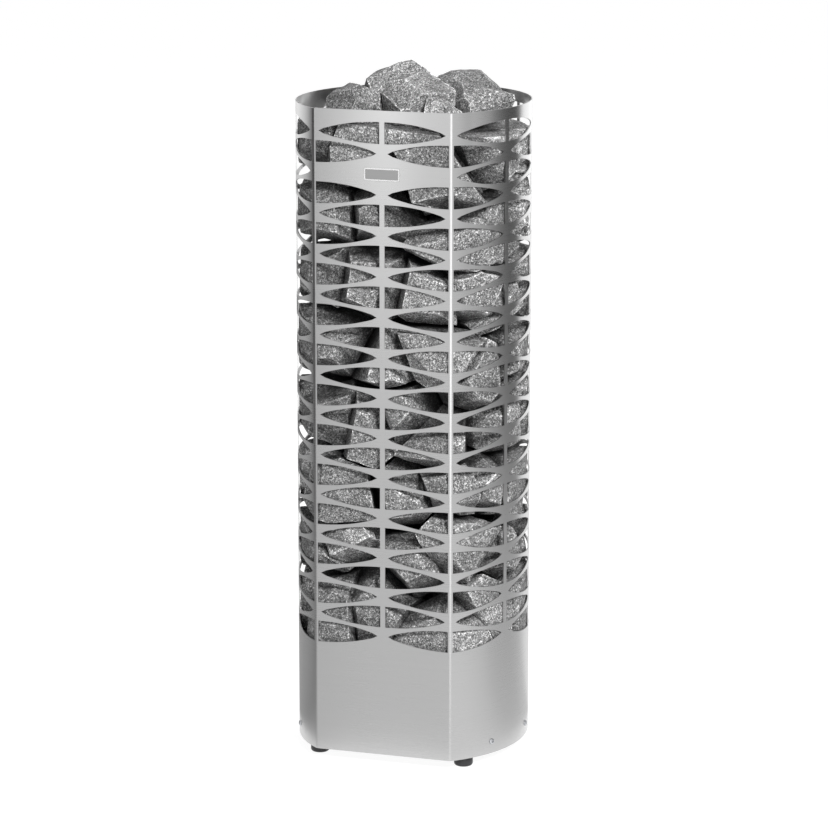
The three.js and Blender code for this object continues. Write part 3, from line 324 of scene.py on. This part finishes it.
# Casing: the flat pattern in (run, height), bent to the section
class BentSheet:
    """Triangles of a flat sheet, bent to the section and given the sheet's thickness."""

    def __init__(self):
        self.index = {}
        self.runs = []
        self.triangles = []

    def vertex(self, point):
        run, z = point
        if run > HALF_PERIMETER:
            run -= 2 * HALF_PERIMETER
        key = (round(run, 6), round(z, 6))
        if key not in self.index:
            self.index[key] = len(self.runs)
            self.runs.append(key)
        return self.index[key]

    def triangle(self, a, b, c):
        area = (b[0] - a[0]) * (c[1] - a[1]) - (c[0] - a[0]) * (b[1] - a[1])
        corners = (a, b, c) if area > 0 else (a, c, b)
        found = tuple(self.vertex(p) for p in corners)
        if len(set(found)) == 3:
            self.triangles.append(found)

    def bridge(self, first, second, axis):
        """Fills the strip between two rows of points that both rise along the axis."""
        i = j = 0
        while i < len(first) - 1 or j < len(second) - 1:
            step = j == len(second) - 1
            if not step and i < len(first) - 1:
                step = first[i + 1][axis] <= second[j + 1][axis]
            self.triangle(first[i], second[j], first[i + 1] if step else second[j + 1])
            i, j = (i + 1, j) if step else (i, j + 1)

    def mesh(self, name):
        count = len(self.runs)
        places, normals = [], []
        for depth, facing in ((0.0, 1), (SHEET, -1)):
            for run, z in self.runs:
                point, normal = section(run)
                places.append((point.x - depth * normal.x, point.y - depth * normal.y, z))
                normals.append((facing * normal.x, facing * normal.y, 0.0))
        edges = {(t[i], t[(i + 1) % 3]) for t in self.triangles for i in range(3)}
        faces = list(self.triangles)
        faces += [(a + count, c + count, b + count) for a, b, c in self.triangles]
        faces += [(b, a, a + count, b + count) for a, b in edges if (b, a) not in edges]
        mesh = bpy.data.meshes.new(name)
        mesh.from_pydata(places, [], faces)
        layer = mesh.uv_layers.new(name="flat")
        skin = 2 * len(self.triangles)
        loop_normals = []
        for polygon in mesh.polygons:
            for loop in polygon.loop_indices:
                vertex = mesh.loops[loop].vertex_index
                layer.data[loop].uv = self.runs[vertex % count]
                bent = polygon.index < skin
                loop_normals.append(normals[vertex] if bent else tuple(polygon.normal))
        mesh.normals_split_custom_set(loop_normals)
        return mesh


LENS_HALF = LENS_HEIGHT / 2
LENS_REACH = BAY - BAR_WIDTH / 2 - TIP_WEB
LENS_ARC = (LENS_REACH ** 2 + LENS_HALF ** 2) / (2 * LENS_HALF)
ROWS = int((HEIGHT - SKIRT - FIRST_ROW_DROP - (ROW_PITCH + LENS_HEIGHT) / 2) // ROW_PITCH) + 1
COLUMNS = np.linspace(BAR_WIDTH / 2, LENS_REACH, 13)


def lens_rise(run):
    """Half height of an opening at a run from its bar: the solids' arc with its edge eased.

    A third of the ease is used at the bar, and the whole of it from midway to the next bar.
    """
    arc = math.sqrt(LENS_ARC ** 2 - run ** 2) - (LENS_ARC - LENS_HALF)
    return arc + EDGE_EASE * (1 + 2 * min(run / (BAY / 2), 1)) / 3


def lens_heights(bar):
    shift = 0 if bar % 2 == 0 else 0.5
    rows = [row for row in range(ROWS) if bar != 0 or row != BADGE_ROW]
    return [RIM_Z - FIRST_ROW_DROP - ROW_PITCH * (row + shift) for row in rows]


def lens_edge(bar, towards, z, sign):
    edge = [(bar * BAY + towards * u, z + sign * lens_rise(u)) for u in COLUMNS[:-1]]
    edge.append((bar * BAY + towards * LENS_REACH, z))
    return edge if towards > 0 else edge[::-1]


def bar_corners(bar, run):
    rise = lens_rise(BAR_WIDTH / 2)
    edges = [z + sign * rise for z in lens_heights(bar) for sign in (1, -1)]
    heights = [RIM_Z, *edges, GROUND_GAP]
    return [(run, z) for z in heights[::-1]]


def add_bay(sheet, bay):
    sides = ((bay, 1), (bay + 1, -1))
    lenses = sorted(((z, bar, way) for bar, way in sides for z in lens_heights(bar)), reverse=True)
    runs = [bay * BAY + u for u in [*COLUMNS[:-1], BAY - BAR_WIDTH / 2]]
    edges = [[(run, RIM_Z) for run in runs]]
    for z, bar, way in lenses:
        edges += [lens_edge(bar, way, z, 1), lens_edge(bar, way, z, -1)]
    edges.append([(run, GROUND_GAP) for run in runs])
    for above, below in zip(edges[::2], edges[1::2]):
        sheet.bridge(above, below, 0)
    for bar, way in sides:
        corners = bar_corners(bar, bar * BAY + way * BAR_WIDTH / 2)
        across = [lens for lens in lenses if lens[1] != bar]
        tips = sorted((z, other * BAY + turn * LENS_REACH) for z, other, turn in across)
        for low, high in zip(corners[::2], corners[1::2]):
            inside = [(run, z) for z, run in tips if low[1] < z < high[1]]
            if inside:
                sheet.bridge([low, high], inside, 1)


def add_bar(sheet, bar):
    half = BAR_WIDTH / 2
    offsets = np.linspace(-half, half, 13 if abs(bar) == 1 else 3)
    columns = [bar_corners(bar, bar * BAY + float(u)) for u in offsets]
    for left, right in zip(columns, columns[1:]):
        sheet.bridge(left, right, 1)


def add_rear(sheet):
    """Plain strip in the middle of the back, with the supply cable's opening in its skirt."""
    last = BAYS * BAY - BAR_WIDTH / 2
    reach = OPENING_RADIUS * OPENING_FRAME
    turns = [2 * math.pi * i / OPENING_SIDES for i in range(OPENING_SIDES)]
    ring, frame_points = [], []
    for turn in turns:
        c, s = math.cos(turn), math.sin(turn)
        ring.append((HALF_PERIMETER + OPENING_RADIUS * c, OPENING_Z + OPENING_RADIUS * s))
        grow = reach / max(abs(c), abs(s))
        frame_points.append((HALF_PERIMETER + grow * c, OPENING_Z + grow * s))
    for i in range(len(turns)):
        j = (i + 1) % len(turns)
        sheet.triangle(ring[i], ring[j], frame_points[j])
        sheet.triangle(ring[i], frame_points[j], frame_points[i])

    def on_side(axis, value):
        kept = [p for p in frame_points if abs(p[axis] - value) < 1e-9]
        return sorted(kept, key=lambda p: p[1 - axis])

    for sign, bar in ((-1, BAYS), (1, -BAYS)):
        edge = HALF_PERIMETER + sign * reach
        column = [(edge, GROUND_GAP), *on_side(0, edge), (edge, RIM_Z)]
        outer = bar_corners(bar, last if sign < 0 else 2 * HALF_PERIMETER - last)
        sheet.bridge(outer, column, 1)
    lower, upper = on_side(1, OPENING_Z - reach), on_side(1, OPENING_Z + reach)
    sheet.bridge([(p[0], GROUND_GAP) for p in lower], lower, 0)
    sheet.bridge(upper, [(p[0], RIM_Z) for p in upper], 0)


sheet = BentSheet()
for bay in range(-BAYS, BAYS):
    add_bay(sheet, bay)
for bar in range(1 - BAYS, BAYS):
    add_bar(sheet, bar)
add_rear(sheet)
piece("casing_shell", sheet.mesh("casing_shell"), "heater", ["casing"], STEEL)


# Turned pieces: rings of points, joined and closed on the axis
RECESS_LOBES = 6
RECESS_RADIUS = 0.0016
TURNED_SHARP = math.radians(40)


def turned(name, profile, sides=48, lobe_depth=0.0):
    """Mesh turned from radii and heights; the smallest rings, a screw's recess, may be lobed."""
    bm = bmesh.new()
    rings = []
    for radius, z in profile:
        if radius == 0:
            rings.append([bm.verts.new((0, 0, z))])
            continue
        ring = []
        for i in range(sides):
            turn = 2 * math.pi * i / sides
            reach = radius
            if radius < RECESS_RADIUS:
                reach *= 1 + lobe_depth * math.cos(RECESS_LOBES * turn)
            ring.append(bm.verts.new((reach * math.cos(turn), reach * math.sin(turn), z)))
        rings.append(ring)
    for low, high in zip(rings, rings[1:]):
        for i in range(sides):
            a, b = low[i % len(low)], low[(i + 1) % len(low)]
            c, d = high[(i + 1) % len(high)], high[i % len(high)]
            corners = list(dict.fromkeys((a, b, c, d)))
            bm.faces.new(corners)
    bmesh.ops.recalc_face_normals(bm, faces=bm.faces[:])
    mesh = bpy.data.meshes.new(name)
    bm.to_mesh(mesh)
    bm.free()
    mesh.shade_smooth()
    mesh.set_sharp_from_angle(angle=TURNED_SHARP)
    return mesh


# Feet
def glide_profile():
    """Radii and heights of a glide: stepped sole, rounded edge, eased top and stud socket."""
    radius, height, edge, socket, depth = 0.0135, 0.014, 0.004, 0.0047, 0.009
    step, edge_steps = 0.0004, 8
    sole = radius - edge
    profile = [(0, 0), (sole - 0.0025, 0), (sole - 0.0018, step), (sole, step)]
    for i in range(1, edge_steps + 1):
        turn = math.pi / 2 * i / edge_steps
        profile.append((sole + edge * math.sin(turn), step + edge * (1 - math.cos(turn))))
    profile += [(radius, height - 0.0008), (radius - 0.0003, height - 0.0002)]
    profile += [(radius - 0.001, height), (socket, height)]
    return profile + [(socket, height - depth), (0, height - depth)]


for corner in ("front_left", "front_right", "rear_left", "rear_right"):
    name = "glide_" + corner
    low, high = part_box("foot_glide_" + corner)
    mesh = turned(name, glide_profile())
    mesh.transform(Matrix.Translation(((low.x + high.x) / 2, (low.y + high.y) / 2, 0)))
    piece(name, mesh, name, ["foot_glide_" + corner], PLASTIC)

# Screws with a six-lobed recess
SCREW_RUNS = (-0.172, 0.172, -0.276, 0.276, -0.380, 0.380)
SCREW_Z = GROUND_GAP + 0.017
SCREW_SIDES = 36
SCREW_LOBE_DEPTH = 0.14
SCREW_NECK = [(0, -0.009), (0.002, -0.009), (0.002, 0)]
SCREW_HEAD = [(0.0042, 0), (0.0042, 0.0005), (0.004, 0.0011), (0.0034, 0.0017), (0.0025, 0.0021)]
SCREW_RECESS = [(0.0016, 0.0023), (0.00155, 0.0022), (0.0014, 0.0008), (0, 0.0007)]
screw_profile = SCREW_NECK + SCREW_HEAD + SCREW_RECESS
for i, run in enumerate(SCREW_RUNS):
    point, normal = section(run)
    mesh = turned(f"screw_{i + 1}", screw_profile, SCREW_SIDES, SCREW_LOBE_DEPTH)
    turn = Vector((0, 0, 1)).rotation_difference(Vector((normal.x, normal.y, 0)))
    place = Matrix.Translation((point.x, point.y, SCREW_Z))
    mesh.transform(place @ turn.to_matrix().to_4x4())
    piece(f"screw_{i + 1}", mesh, "heater", [f"casing_screw_{i + 1}"], ZINC)


# Badge plate: bare field inside a raised border, as loops of inset and stand-out
BADGE_LOOPS = [(0, 0.0), (0, 0.0007), (0.0004, 0.0011), (0.0021, 0.0011), (0.0024, 0.0007)]
BADGE_CORNER = 0.0028
BADGE_CORNER_STEPS = 6


def badge_mesh():
    low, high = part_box("badge_plate")
    centre, half = (low + high) / 2, (high - low) / 2
    bm = bmesh.new()
    rings = []
    for inset, out in BADGE_LOOPS:
        ring = []
        radius = BADGE_CORNER - inset
        for cx, cz, start in ((1, 1, 0), (-1, 1, 90), (-1, -1, 180), (1, -1, 270)):
            for i in range(BADGE_CORNER_STEPS + 1):
                turn = math.radians(start + 90 * i / BADGE_CORNER_STEPS)
                x = cx * (half.x - BADGE_CORNER) + radius * math.cos(turn)
                z = cz * (half.z - BADGE_CORNER) + radius * math.sin(turn)
                ring.append(bm.verts.new((centre.x + x, high.y - out, centre.z + z)))
        rings.append(ring)
    for inner, outer in zip(rings, rings[1:]):
        for i in range(len(inner)):
            j = (i + 1) % len(inner)
            bm.faces.new((inner[i], inner[j], outer[j], outer[i]))
    bm.faces.new(rings[0])
    bm.faces.new(rings[-1]).material_index = 1
    bmesh.ops.recalc_face_normals(bm, faces=bm.faces[:])
    mesh = bpy.data.meshes.new("badge")
    bm.to_mesh(mesh)
    bm.free()
    return mesh


badge = piece("badge", badge_mesh(), "heater", ["badge_plate"], BADGE_STEEL)
badge.data.materials.append(BADGE_FIELD)

# Stones: the solids' broken shapes, with chipped edges lightened partly as wear and partly as
# painted highlight, grooves and gaps darkened as painted shade, rough faces and a tone for each
# stone

# How the stones against the wall are laid in the solids
RING_STONES = 12
STONE_BACK = 0.0444
STACK_BOTTOM = 0.16915
STACK_TOP = RIM_Z - 0.030
COURSE_SHIFT = 0.5
RUN_SPREAD = 0.6
RISE_SPREAD = 0.54

# Roughness of their faces
BROAD_SCALE = 30
BROAD_DEPTH = 0.0011
CHIP_SCALE = 62
CHIP_DEPTH = 0.0016
CHIP_MIDDLE = 0.6
# Gain of the edge measure, which lightens edges as wear and painted highlight and darkens grooves
# as painted shade
WEAR_AND_SHADE_GAIN = 1.8

# Room left at the wall, and the share of a gap that a stone's outer face is drawn over
WALL_ROOM = SHEET + 0.0006
WALL_PULL = 0.8
PULL_END = 0.022
PULL_FADE = 0.010

# Length of edges in the meshes: in the pile, deep in it where it isn't seen, and in the heap
PILE_GRAIN = 0.006
HIDDEN_GRAIN = 0.02
HEAP_GRAIN = 0.0045
SEEN_DEPTH = 0.045
SHORTEST_EDGE = 0.0004
FLAT_EDGE = math.radians(0.5)
WELD = 1e-7
STONE_SHARP = math.radians(26)

# Painted shade between the stones, darker by depth behind the casing and below the top of the pile
GAP_SHADE_START = 0.014
GAP_SHADE_SPAN = 0.034
GAP_SHADE_COVER = 0.03

PILE_TONE_KEY = 7
HEAP_TONE_KEY = 272


def chance(a, b):
    """Even spread from 0 to 1 that is the same on each run."""
    wave = math.sin(a * 127.1 + b * 311.7) * 43758.5453
    return wave - math.floor(wave)


def stone_centres(courses):
    """Middles of the stones against the wall, as they are laid in the solids."""
    centres = []
    height = (STACK_TOP - STACK_BOTTOM) / courses
    pitch = 2 * HALF_PERIMETER / RING_STONES
    for course in range(courses):
        for i in range(RING_STONES):
            key = len(centres)
            shift = COURSE_SHIFT * (course % 2) + RUN_SPREAD * (chance(key, 0) - 0.5)
            rise = course + 0.5 + RISE_SPREAD * (chance(key, 1) - 0.5)
            point, normal = section((i + shift) * pitch)
            place = point - normal * STONE_BACK
            centres.append((place.x, place.y, STACK_BOTTOM + rise * height))
    return np.array(centres)


def roughness_at(point):
    broad = noise.fractal(point * BROAD_SCALE, 1.0, 2.0, 3)
    chips = noise.voronoi(point * CHIP_SCALE)[0][0]
    return BROAD_DEPTH * broad + CHIP_DEPTH * (chips - CHIP_MIDDLE)


def face_edges(faces):
    """Pairs of points that an edge joins, and each face's three edges, in the points' order."""
    sides = np.stack([faces, np.roll(faces, -1, axis=1)], axis=2)
    pairs = np.sort(sides.reshape(-1, 2), axis=1)
    edges, found = np.unique(pairs, axis=0, return_inverse=True)
    return edges, found.reshape(-1, 3)


def point_normals(places, faces):
    corners = places[faces]
    across = np.cross(corners[:, 1] - corners[:, 0], corners[:, 2] - corners[:, 0])
    normals = np.zeros_like(places)
    for i in range(3):
        np.add.at(normals, faces[:, i], across)
    return normals / np.maximum(np.linalg.norm(normals, axis=1), 1e-15)[:, None]


def edge_wear_and_shade(places, normals, edges):
    """For each point 0 in a groove, 0.5 on a flat face and 1 on a broken edge; the rock darkens
    grooves with it as painted shade and lightens edges as wear and painted highlight.
    """
    first, second = edges.T
    total, count, length = np.zeros_like(places), np.zeros(len(places)), np.zeros(len(places))
    spans = np.linalg.norm(places[first] - places[second], axis=1)
    for a, b in ((first, second), (second, first)):
        np.add.at(total, a, places[b])
        np.add.at(count, a, 1)
        np.add.at(length, a, spans)
    count = np.maximum(count, 1)
    stand = ((places - total / count[:, None]) * normals).sum(axis=1)
    return np.clip(0.5 + WEAR_AND_SHADE_GAIN * (stand / np.maximum(length / count, 1e-9)), 0, 1)


def wall_reach(x, y, room):
    """How far a point lies out to the rolled wall: 1 at the given room inside its outer face."""
    return np.hypot(x / (HALF_WIDTH - room), (y - CENTRE_Y) / (REAR_DEPTH - room))


def settled(places, normals):
    """Points with the outer faces drawn out towards the rolled wall, and none in the casing."""
    x, y = places[:, 0], places[:, 1]
    reach = wall_reach(x, y, WALL_ROOM)
    out_x, out_y = x / HALF_WIDTH ** 2, (y - CENTRE_Y) / REAR_DEPTH ** 2
    steep = np.maximum(np.hypot(out_x, out_y), 1e-9)
    out_x, out_y = out_x / steep, out_y / steep
    gap = np.maximum(1 - reach, 0) * reach / steep
    facing = np.clip(normals[:, 0] * out_x + normals[:, 1] * out_y, 0, 1)
    near = np.clip((PULL_END - gap) / PULL_FADE, 0, 1)
    near = near * (y - FRONT_Y - WALL_ROOM > gap) * (places[:, 2] < STACK_TOP)
    pull = WALL_PULL * gap * np.sqrt(facing) * near
    x, y = x + pull * out_x, y + pull * out_y
    reach = np.maximum(wall_reach(x, y, WALL_ROOM), 1)
    y = np.maximum(CENTRE_Y + (y - CENTRE_Y) / reach, FRONT_Y + WALL_ROOM)
    return np.stack([x / reach, y, places[:, 2]], axis=1)


def split_face(corners, cuts):
    """Triangles that a triangle becomes when its edges are halved at their cut points.

    The cuts follow the corners: one on the edge after each, or -1 where that edge stays whole.
    """
    for _ in range(3):
        (a, b, c), (p, q, r) = corners, cuts
        if p >= 0 and r < 0 or min(cuts) >= 0 or max(cuts) < 0:
            break
        corners, cuts = (b, c, a), (q, r, p)
    if p < 0:
        return [(a, b, c)]
    if q < 0:
        return [(a, p, c), (p, b, c)]
    if r < 0:
        return [(p, b, q), (a, p, q), (a, q, c)]
    return [(a, p, r), (p, b, q), (r, q, c), (p, q, r)]


def split_long(places, faces, grain):
    """Halves each edge that is longer than the grain, a coarser one deep in the pile."""
    for _ in range(9):
        edges, of_face = face_edges(faces)
        ends = places[edges]
        middles = ends.mean(axis=1)
        x, y, z = middles.T
        hidden = (wall_reach(x, y, SEEN_DEPTH) < 1) & (y - FRONT_Y > SEEN_DEPTH)
        limit = np.where(hidden & (z < STACK_TOP), HIDDEN_GRAIN, grain)
        long_ones = np.linalg.norm(ends[:, 0] - ends[:, 1], axis=1) > limit
        if not long_ones.any():
            break
        cut = np.where(long_ones, len(places) + np.cumsum(long_ones) - 1, -1)
        places = np.concatenate([places, middles[long_ones]])
        grown = []
        for corners, cuts in zip(faces.tolist(), cut[of_face].tolist()):
            grown += split_face(corners, cuts)
        faces = np.array(grown)
    return places, faces


def neighbours(point):
    return {edge.other_vert(point) for edge in point.link_edges}


def clean_solid(name):
    """Points and triangles of a node's solid, still closed, without its shortest edges.

    An edge is taken out only where its ends share two neighbours, so no face is left doubled.
    """
    bm = bmesh.new()
    bm.from_mesh(nodes[name].data)
    bmesh.ops.remove_doubles(bm, verts=bm.verts[:], dist=WELD)
    for edge in sorted(bm.edges, key=lambda found: found.calc_length()):
        if edge.is_valid and edge.calc_length() < SHORTEST_EDGE:
            if len(neighbours(edge.verts[0]) & neighbours(edge.verts[1])) == 2:
                bmesh.ops.collapse(bm, edges=[edge])
    flat = [edge for edge in bm.edges if edge.calc_face_angle(0) < FLAT_EDGE]
    bmesh.ops.beautify_fill(bm, faces=bm.faces[:], edges=flat, method="ANGLE")
    bm.verts.index_update()
    places = np.array([point.co for point in bm.verts])
    faces = np.array([[point.index for point in face.verts] for face in bm.faces])
    bm.free()
    return places, faces


def weathered(name, grain):
    """Points, faces and edge measure (for wear, painted highlight and painted shade) of a node's
    solid with rough faces and chipped edges.
    """
    places, faces = split_long(*clean_solid(name), grain)
    normals = point_normals(places, faces)
    wear_and_shade = edge_wear_and_shade(places, normals, face_edges(faces)[0])
    moves = np.array([roughness_at(Vector(place)) for place in places])
    return settled(places + normals * moves[:, None], normals), faces, wear_and_shade


def depth_in_pile(places):
    """Painted shade of the gaps: 0 for points that face the casing or stand above the pile, 1 for
    those well behind it.
    """
    x, y, z = places.T
    behind = np.minimum(1 - wall_reach(x, y, SHEET), (y - FRONT_Y) / REAR_DEPTH)
    covered = np.clip((STACK_TOP - z) / GAP_SHADE_COVER, 0, 1)
    return covered * np.clip((behind * REAR_DEPTH - GAP_SHADE_START) / GAP_SHADE_SPAN, 0, 1)


def stone_piece(name, node, tones_of, grain):
    places, faces, wear_and_shade = weathered(node, grain)
    mesh = bpy.data.meshes.new(name)
    mesh.from_pydata(places.tolist(), [], faces.tolist())
    shades = {"tone": tones_of(places), "wear_and_shade": wear_and_shade, "deep": depth_in_pile(places)}
    for attribute, values in shades.items():
        mesh.attributes.new(attribute, "FLOAT", "POINT").data.foreach_set("value", values)
    mesh.shade_smooth()
    mesh.set_sharp_from_angle(angle=STONE_SHARP)
    piece(name, mesh, "heater", [node], ROCK)


courses = sorted(n for n in nodes if n.startswith("stone_course_"))
middles = stone_centres(len(courses))
stone_tones = np.array([chance(i, PILE_TONE_KEY) for i in range(len(middles))])


def pile_tones(places):
    """Tone of the nearest stone for each point of the pile."""
    apart = ((places[:, None, :] - middles[None, :, :]) ** 2).sum(axis=2)
    return stone_tones[apart.argmin(axis=1)]


for name in courses:
    stone_piece(name.replace("stone_course", "stones"), name, pile_tones, PILE_GRAIN)
for i, name in enumerate(sorted(n for n in nodes if n.startswith("top_stone_"))):
    tone = chance(i, HEAP_TONE_KEY)
    rock_name = name.replace("top_stone", "rock")
    stone_piece(rock_name, name, lambda places: np.full(len(places), tone), HEAP_GRAIN)

# Camera: degrees and metres, and the focal length in widths of the picture
AZIMUTH, DISTANCE, CAMERA_Z, FOCAL, PITCH = 18.06, 5.0, 1.567, 3574 / 828, 12.24
SENSOR_WIDTH = 36
camera = bpy.data.objects.new("camera", bpy.data.cameras.new("camera"))
scene.collection.objects.link(camera)
turn, dip = math.radians(AZIMUTH), math.radians(PITCH)
camera.location = (math.sin(turn) * DISTANCE, CENTRE_Y - math.cos(turn) * DISTANCE, CAMERA_Z)
look = Vector((-math.sin(turn) * math.cos(dip), math.cos(turn) * math.cos(dip), -math.sin(dip)))
camera.rotation_euler = look.to_track_quat("-Z", "Y").to_euler()
camera.data.sensor_width = SENSOR_WIDTH
camera.data.lens = SENSOR_WIDTH * FOCAL
scene.camera = camera


# Studio
WORLD_LIGHT = 0.2
FLOOR_LEVEL = 0.86
FLOOR_GLOW = 1.24
FLOOR_GLOW_SHARE = 0.76
FLOOR_REACH = 60
WRAP_SIDES = 96
LOWER_RISE = (0.004, 0.006)
UPPER_RISE = (0.42, 0.75)

# Panels that the metal reflects: degrees of azimuth from the front, and level
GROUND_PANELS = [
    (-180, 1.0), (-170, 0.8), (-160, 0.4), (-145, 0.36), (-128, 0.44), (-100, 0.42), (-80, 0.36),
    (-60, 0.5), (-45, 0.72), (-34, 0.8), (-18, 0.84), (10, 0.84), (34, 0.95), (46, 1.06),
    (66, 1.08), (84, 1.0), (99, 0.84), (121, 0.76), (141, 0.78), (152, 1.0), (180, 1.0),
]
LOWER_PANELS = [
    (-180, 1.1), (-172, 0.9), (-164, 0.4), (-148, 0.15), (-134, 0.36), (-124, 0.45), (-115, 0.5),
    (-100, 0.42), (-94, 0.1), (-45, 0.1), (-36, 0.14), (-31, 0.62), (-25, 0.72), (-18, 0.8),
    (-4, 0.78), (8, 2.3), (34, 2.5), (46, 0.84), (66, 0.76), (84, 0.58), (100, 0.4), (121, 0.19),
    (134, 0.13), (140, 0.14), (147, 1.25), (180, 1.1),
]
UPPER_PANELS = [
    (-180, 1.0), (-160, 0.75), (-150, 0.86), (-128, 1.25), (-119, 1.2), (-107, 0.95), (-100, 0.6),
    (-95, 0.12), (-36, 0.12), (-30, 0.75), (-25, 0.98), (-20, 1.5), (-15.5, 2.15), (-12, 1.15),
    (-6, 1.1), (8, 1.7), (34, 1.85), (46, 1.0), (66, 0.9), (77, 0.6), (81, 0.9), (83, 0.76),
    (99, 0.55), (105, 0.33), (113, 0.2), (121, 0.12), (134, 0.07), (141, 0.08), (146, 1.2),
    (151, 1.5), (180, 1.5),
]


def shows_white(tree):
    """1 for rays that should see the pale studio itself: the camera's and those off metal."""
    path = add(tree, "ShaderNodeLightPath")
    total = path.outputs["Is Camera Ray"]
    for name in ("Is Glossy Ray", "Is Transmission Ray"):
        join = add(tree, "ShaderNodeMath", operation="MAXIMUM")
        tree.links.new(total, join.inputs[0])
        tree.links.new(path.outputs[name], join.inputs[1])
        total = join.outputs[0]
    return total


world = bpy.data.worlds.new("studio")
scene.world = world
world.use_nodes = True
tree = world.node_tree
background = tree.nodes["Background"]
background.inputs["Color"].default_value = (1, 1, 1, 1)
tree.links.new(span(tree, shows_white(tree), WORLD_LIGHT, 1.0), background.inputs["Strength"])


def quad(name, corners, material):
    mesh = bpy.data.meshes.new(name)
    mesh.from_pydata(corners, [], [(0, 1, 2, 3)])
    obj = bpy.data.objects.new(name, mesh)
    scene.collection.objects.link(obj)
    mesh.materials.append(material)


def floor_material():
    """Pale floor that glows white where it is seen and keeps the object's shadow."""
    material, tree, shader = new_material("studio_floor")
    shader.inputs["Base Color"].default_value = (FLOOR_LEVEL, FLOOR_LEVEL, FLOOR_LEVEL, 1)
    shader.inputs["Roughness"].default_value = 0.9
    glow = add(tree, "ShaderNodeEmission", {"Color": (1, 1, 1, 1), "Strength": FLOOR_GLOW})
    mix = add(tree, "ShaderNodeMixShader")
    tree.links.new(span(tree, shows_white(tree), 0.0, FLOOR_GLOW_SHARE), mix.inputs["Fac"])
    tree.links.new(shader.outputs[0], mix.inputs[1])
    tree.links.new(glow.outputs[0], mix.inputs[2])
    tree.links.new(mix.outputs[0], tree.nodes["Material Output"].inputs["Surface"])
    return material


signs = ((-1, -1), (1, -1), (1, 1), (-1, 1))
quad("floor", [(x * FLOOR_REACH, y * FLOOR_REACH, 0) for x, y in signs], floor_material())


def studio_wrap(inner, radius, low, high):
    """Round floor and wall that only metal sees: the studio's dark and pale panels."""
    material = bpy.data.materials.new("studio_wrap")
    material.use_nodes = True
    tree = material.node_tree
    tree.nodes.remove(tree.nodes["Principled BSDF"])
    place = add(tree, "ShaderNodeSeparateXYZ")
    tree.links.new(add(tree, "ShaderNodeNewGeometry").outputs["Position"], place.inputs[0])
    depth = add(tree, "ShaderNodeMath", {0: CENTRE_Y}, operation="SUBTRACT")
    tree.links.new(place.outputs["Y"], depth.inputs[1])
    turn = add(tree, "ShaderNodeMath", operation="ARCTAN2")
    tree.links.new(place.outputs["X"], turn.inputs[0])
    tree.links.new(depth.outputs[0], turn.inputs[1])
    share = add(tree, "ShaderNodeMapRange", {"From Min": -math.pi, "From Max": math.pi})
    tree.links.new(turn.outputs[0], share.inputs["Value"])

    def panels(stops):
        shares = [((azimuth + 180) / 360, level) for azimuth, level in stops]
        return ramp(tree, share.outputs["Result"], shares)

    ground, lower, upper = panels(GROUND_PANELS), panels(LOWER_PANELS), panels(UPPER_PANELS)
    colour = ground
    for panel, (start, full) in ((lower, LOWER_RISE), (upper, UPPER_RISE)):
        limits = {"From Min": start, "From Max": full}
        rise = add(tree, "ShaderNodeMapRange", limits, interpolation_type="SMOOTHSTEP")
        tree.links.new(place.outputs["Z"], rise.inputs["Value"])
        blend = add(tree, "ShaderNodeMix", data_type="RGBA")
        tree.links.new(rise.outputs["Result"], blend.inputs[0])
        tree.links.new(colour, blend.inputs["A"])
        tree.links.new(panel, blend.inputs["B"])
        colour = blend.outputs["Result"]
    glow = add(tree, "ShaderNodeEmission", {"Strength": 1.0})
    tree.links.new(colour, glow.inputs["Color"])
    tree.links.new(glow.outputs[0], tree.nodes["Material Output"].inputs["Surface"])
    places, faces = [], []
    sides = WRAP_SIDES
    rings = [(inner, low), (radius, low), (radius, low + 0.01), (radius, high)]
    for reach, z in rings:
        for i in range(sides):
            angle = 2 * math.pi * i / sides
            places.append((reach * math.cos(angle), CENTRE_Y + reach * math.sin(angle), z))
    for ring in range(len(rings) - 1):
        for i in range(sides):
            a, b = ring * sides + i, ring * sides + (i + 1) % sides
            faces.append((a, b, b + sides, a + sides))
    mesh = bpy.data.meshes.new("studio_wrap")
    mesh.from_pydata(places, [], faces)
    mesh.materials.append(material)
    obj = bpy.data.objects.new("studio_wrap", mesh)
    scene.collection.objects.link(obj)
    obj.visible_camera = False
    obj.visible_diffuse = False
    obj.visible_shadow = False
    obj.visible_transmission = False


studio_wrap(inner=0.22, radius=1.6, low=0.003, high=3.0)


def lamp(name, place, size, power, aim=(0, 0, 0.5)):
    light = bpy.data.lights.new(name, "AREA")
    light.shape = "DISK"
    light.size = size
    light.energy = power
    obj = bpy.data.objects.new(name, light)
    scene.collection.objects.link(obj)
    obj.location = place
    obj.rotation_euler = (Vector(aim) - Vector(place)).to_track_quat("-Z", "Y").to_euler()
    obj.visible_glossy = False


lamp("key", (2.0, -2.6, 2.4), size=0.9, power=220)
lamp("fill", (-2.6, -2.4, 1.6), size=1.8, power=16)
lamp("top", (0.5, -0.4, 2.9), size=1.0, power=24, aim=(0.0, 0.0, 0.95))
lamp("rear", (0.8, 3.0, 1.6), size=1.8, power=60)

scene.view_settings.view_transform = "Standard"
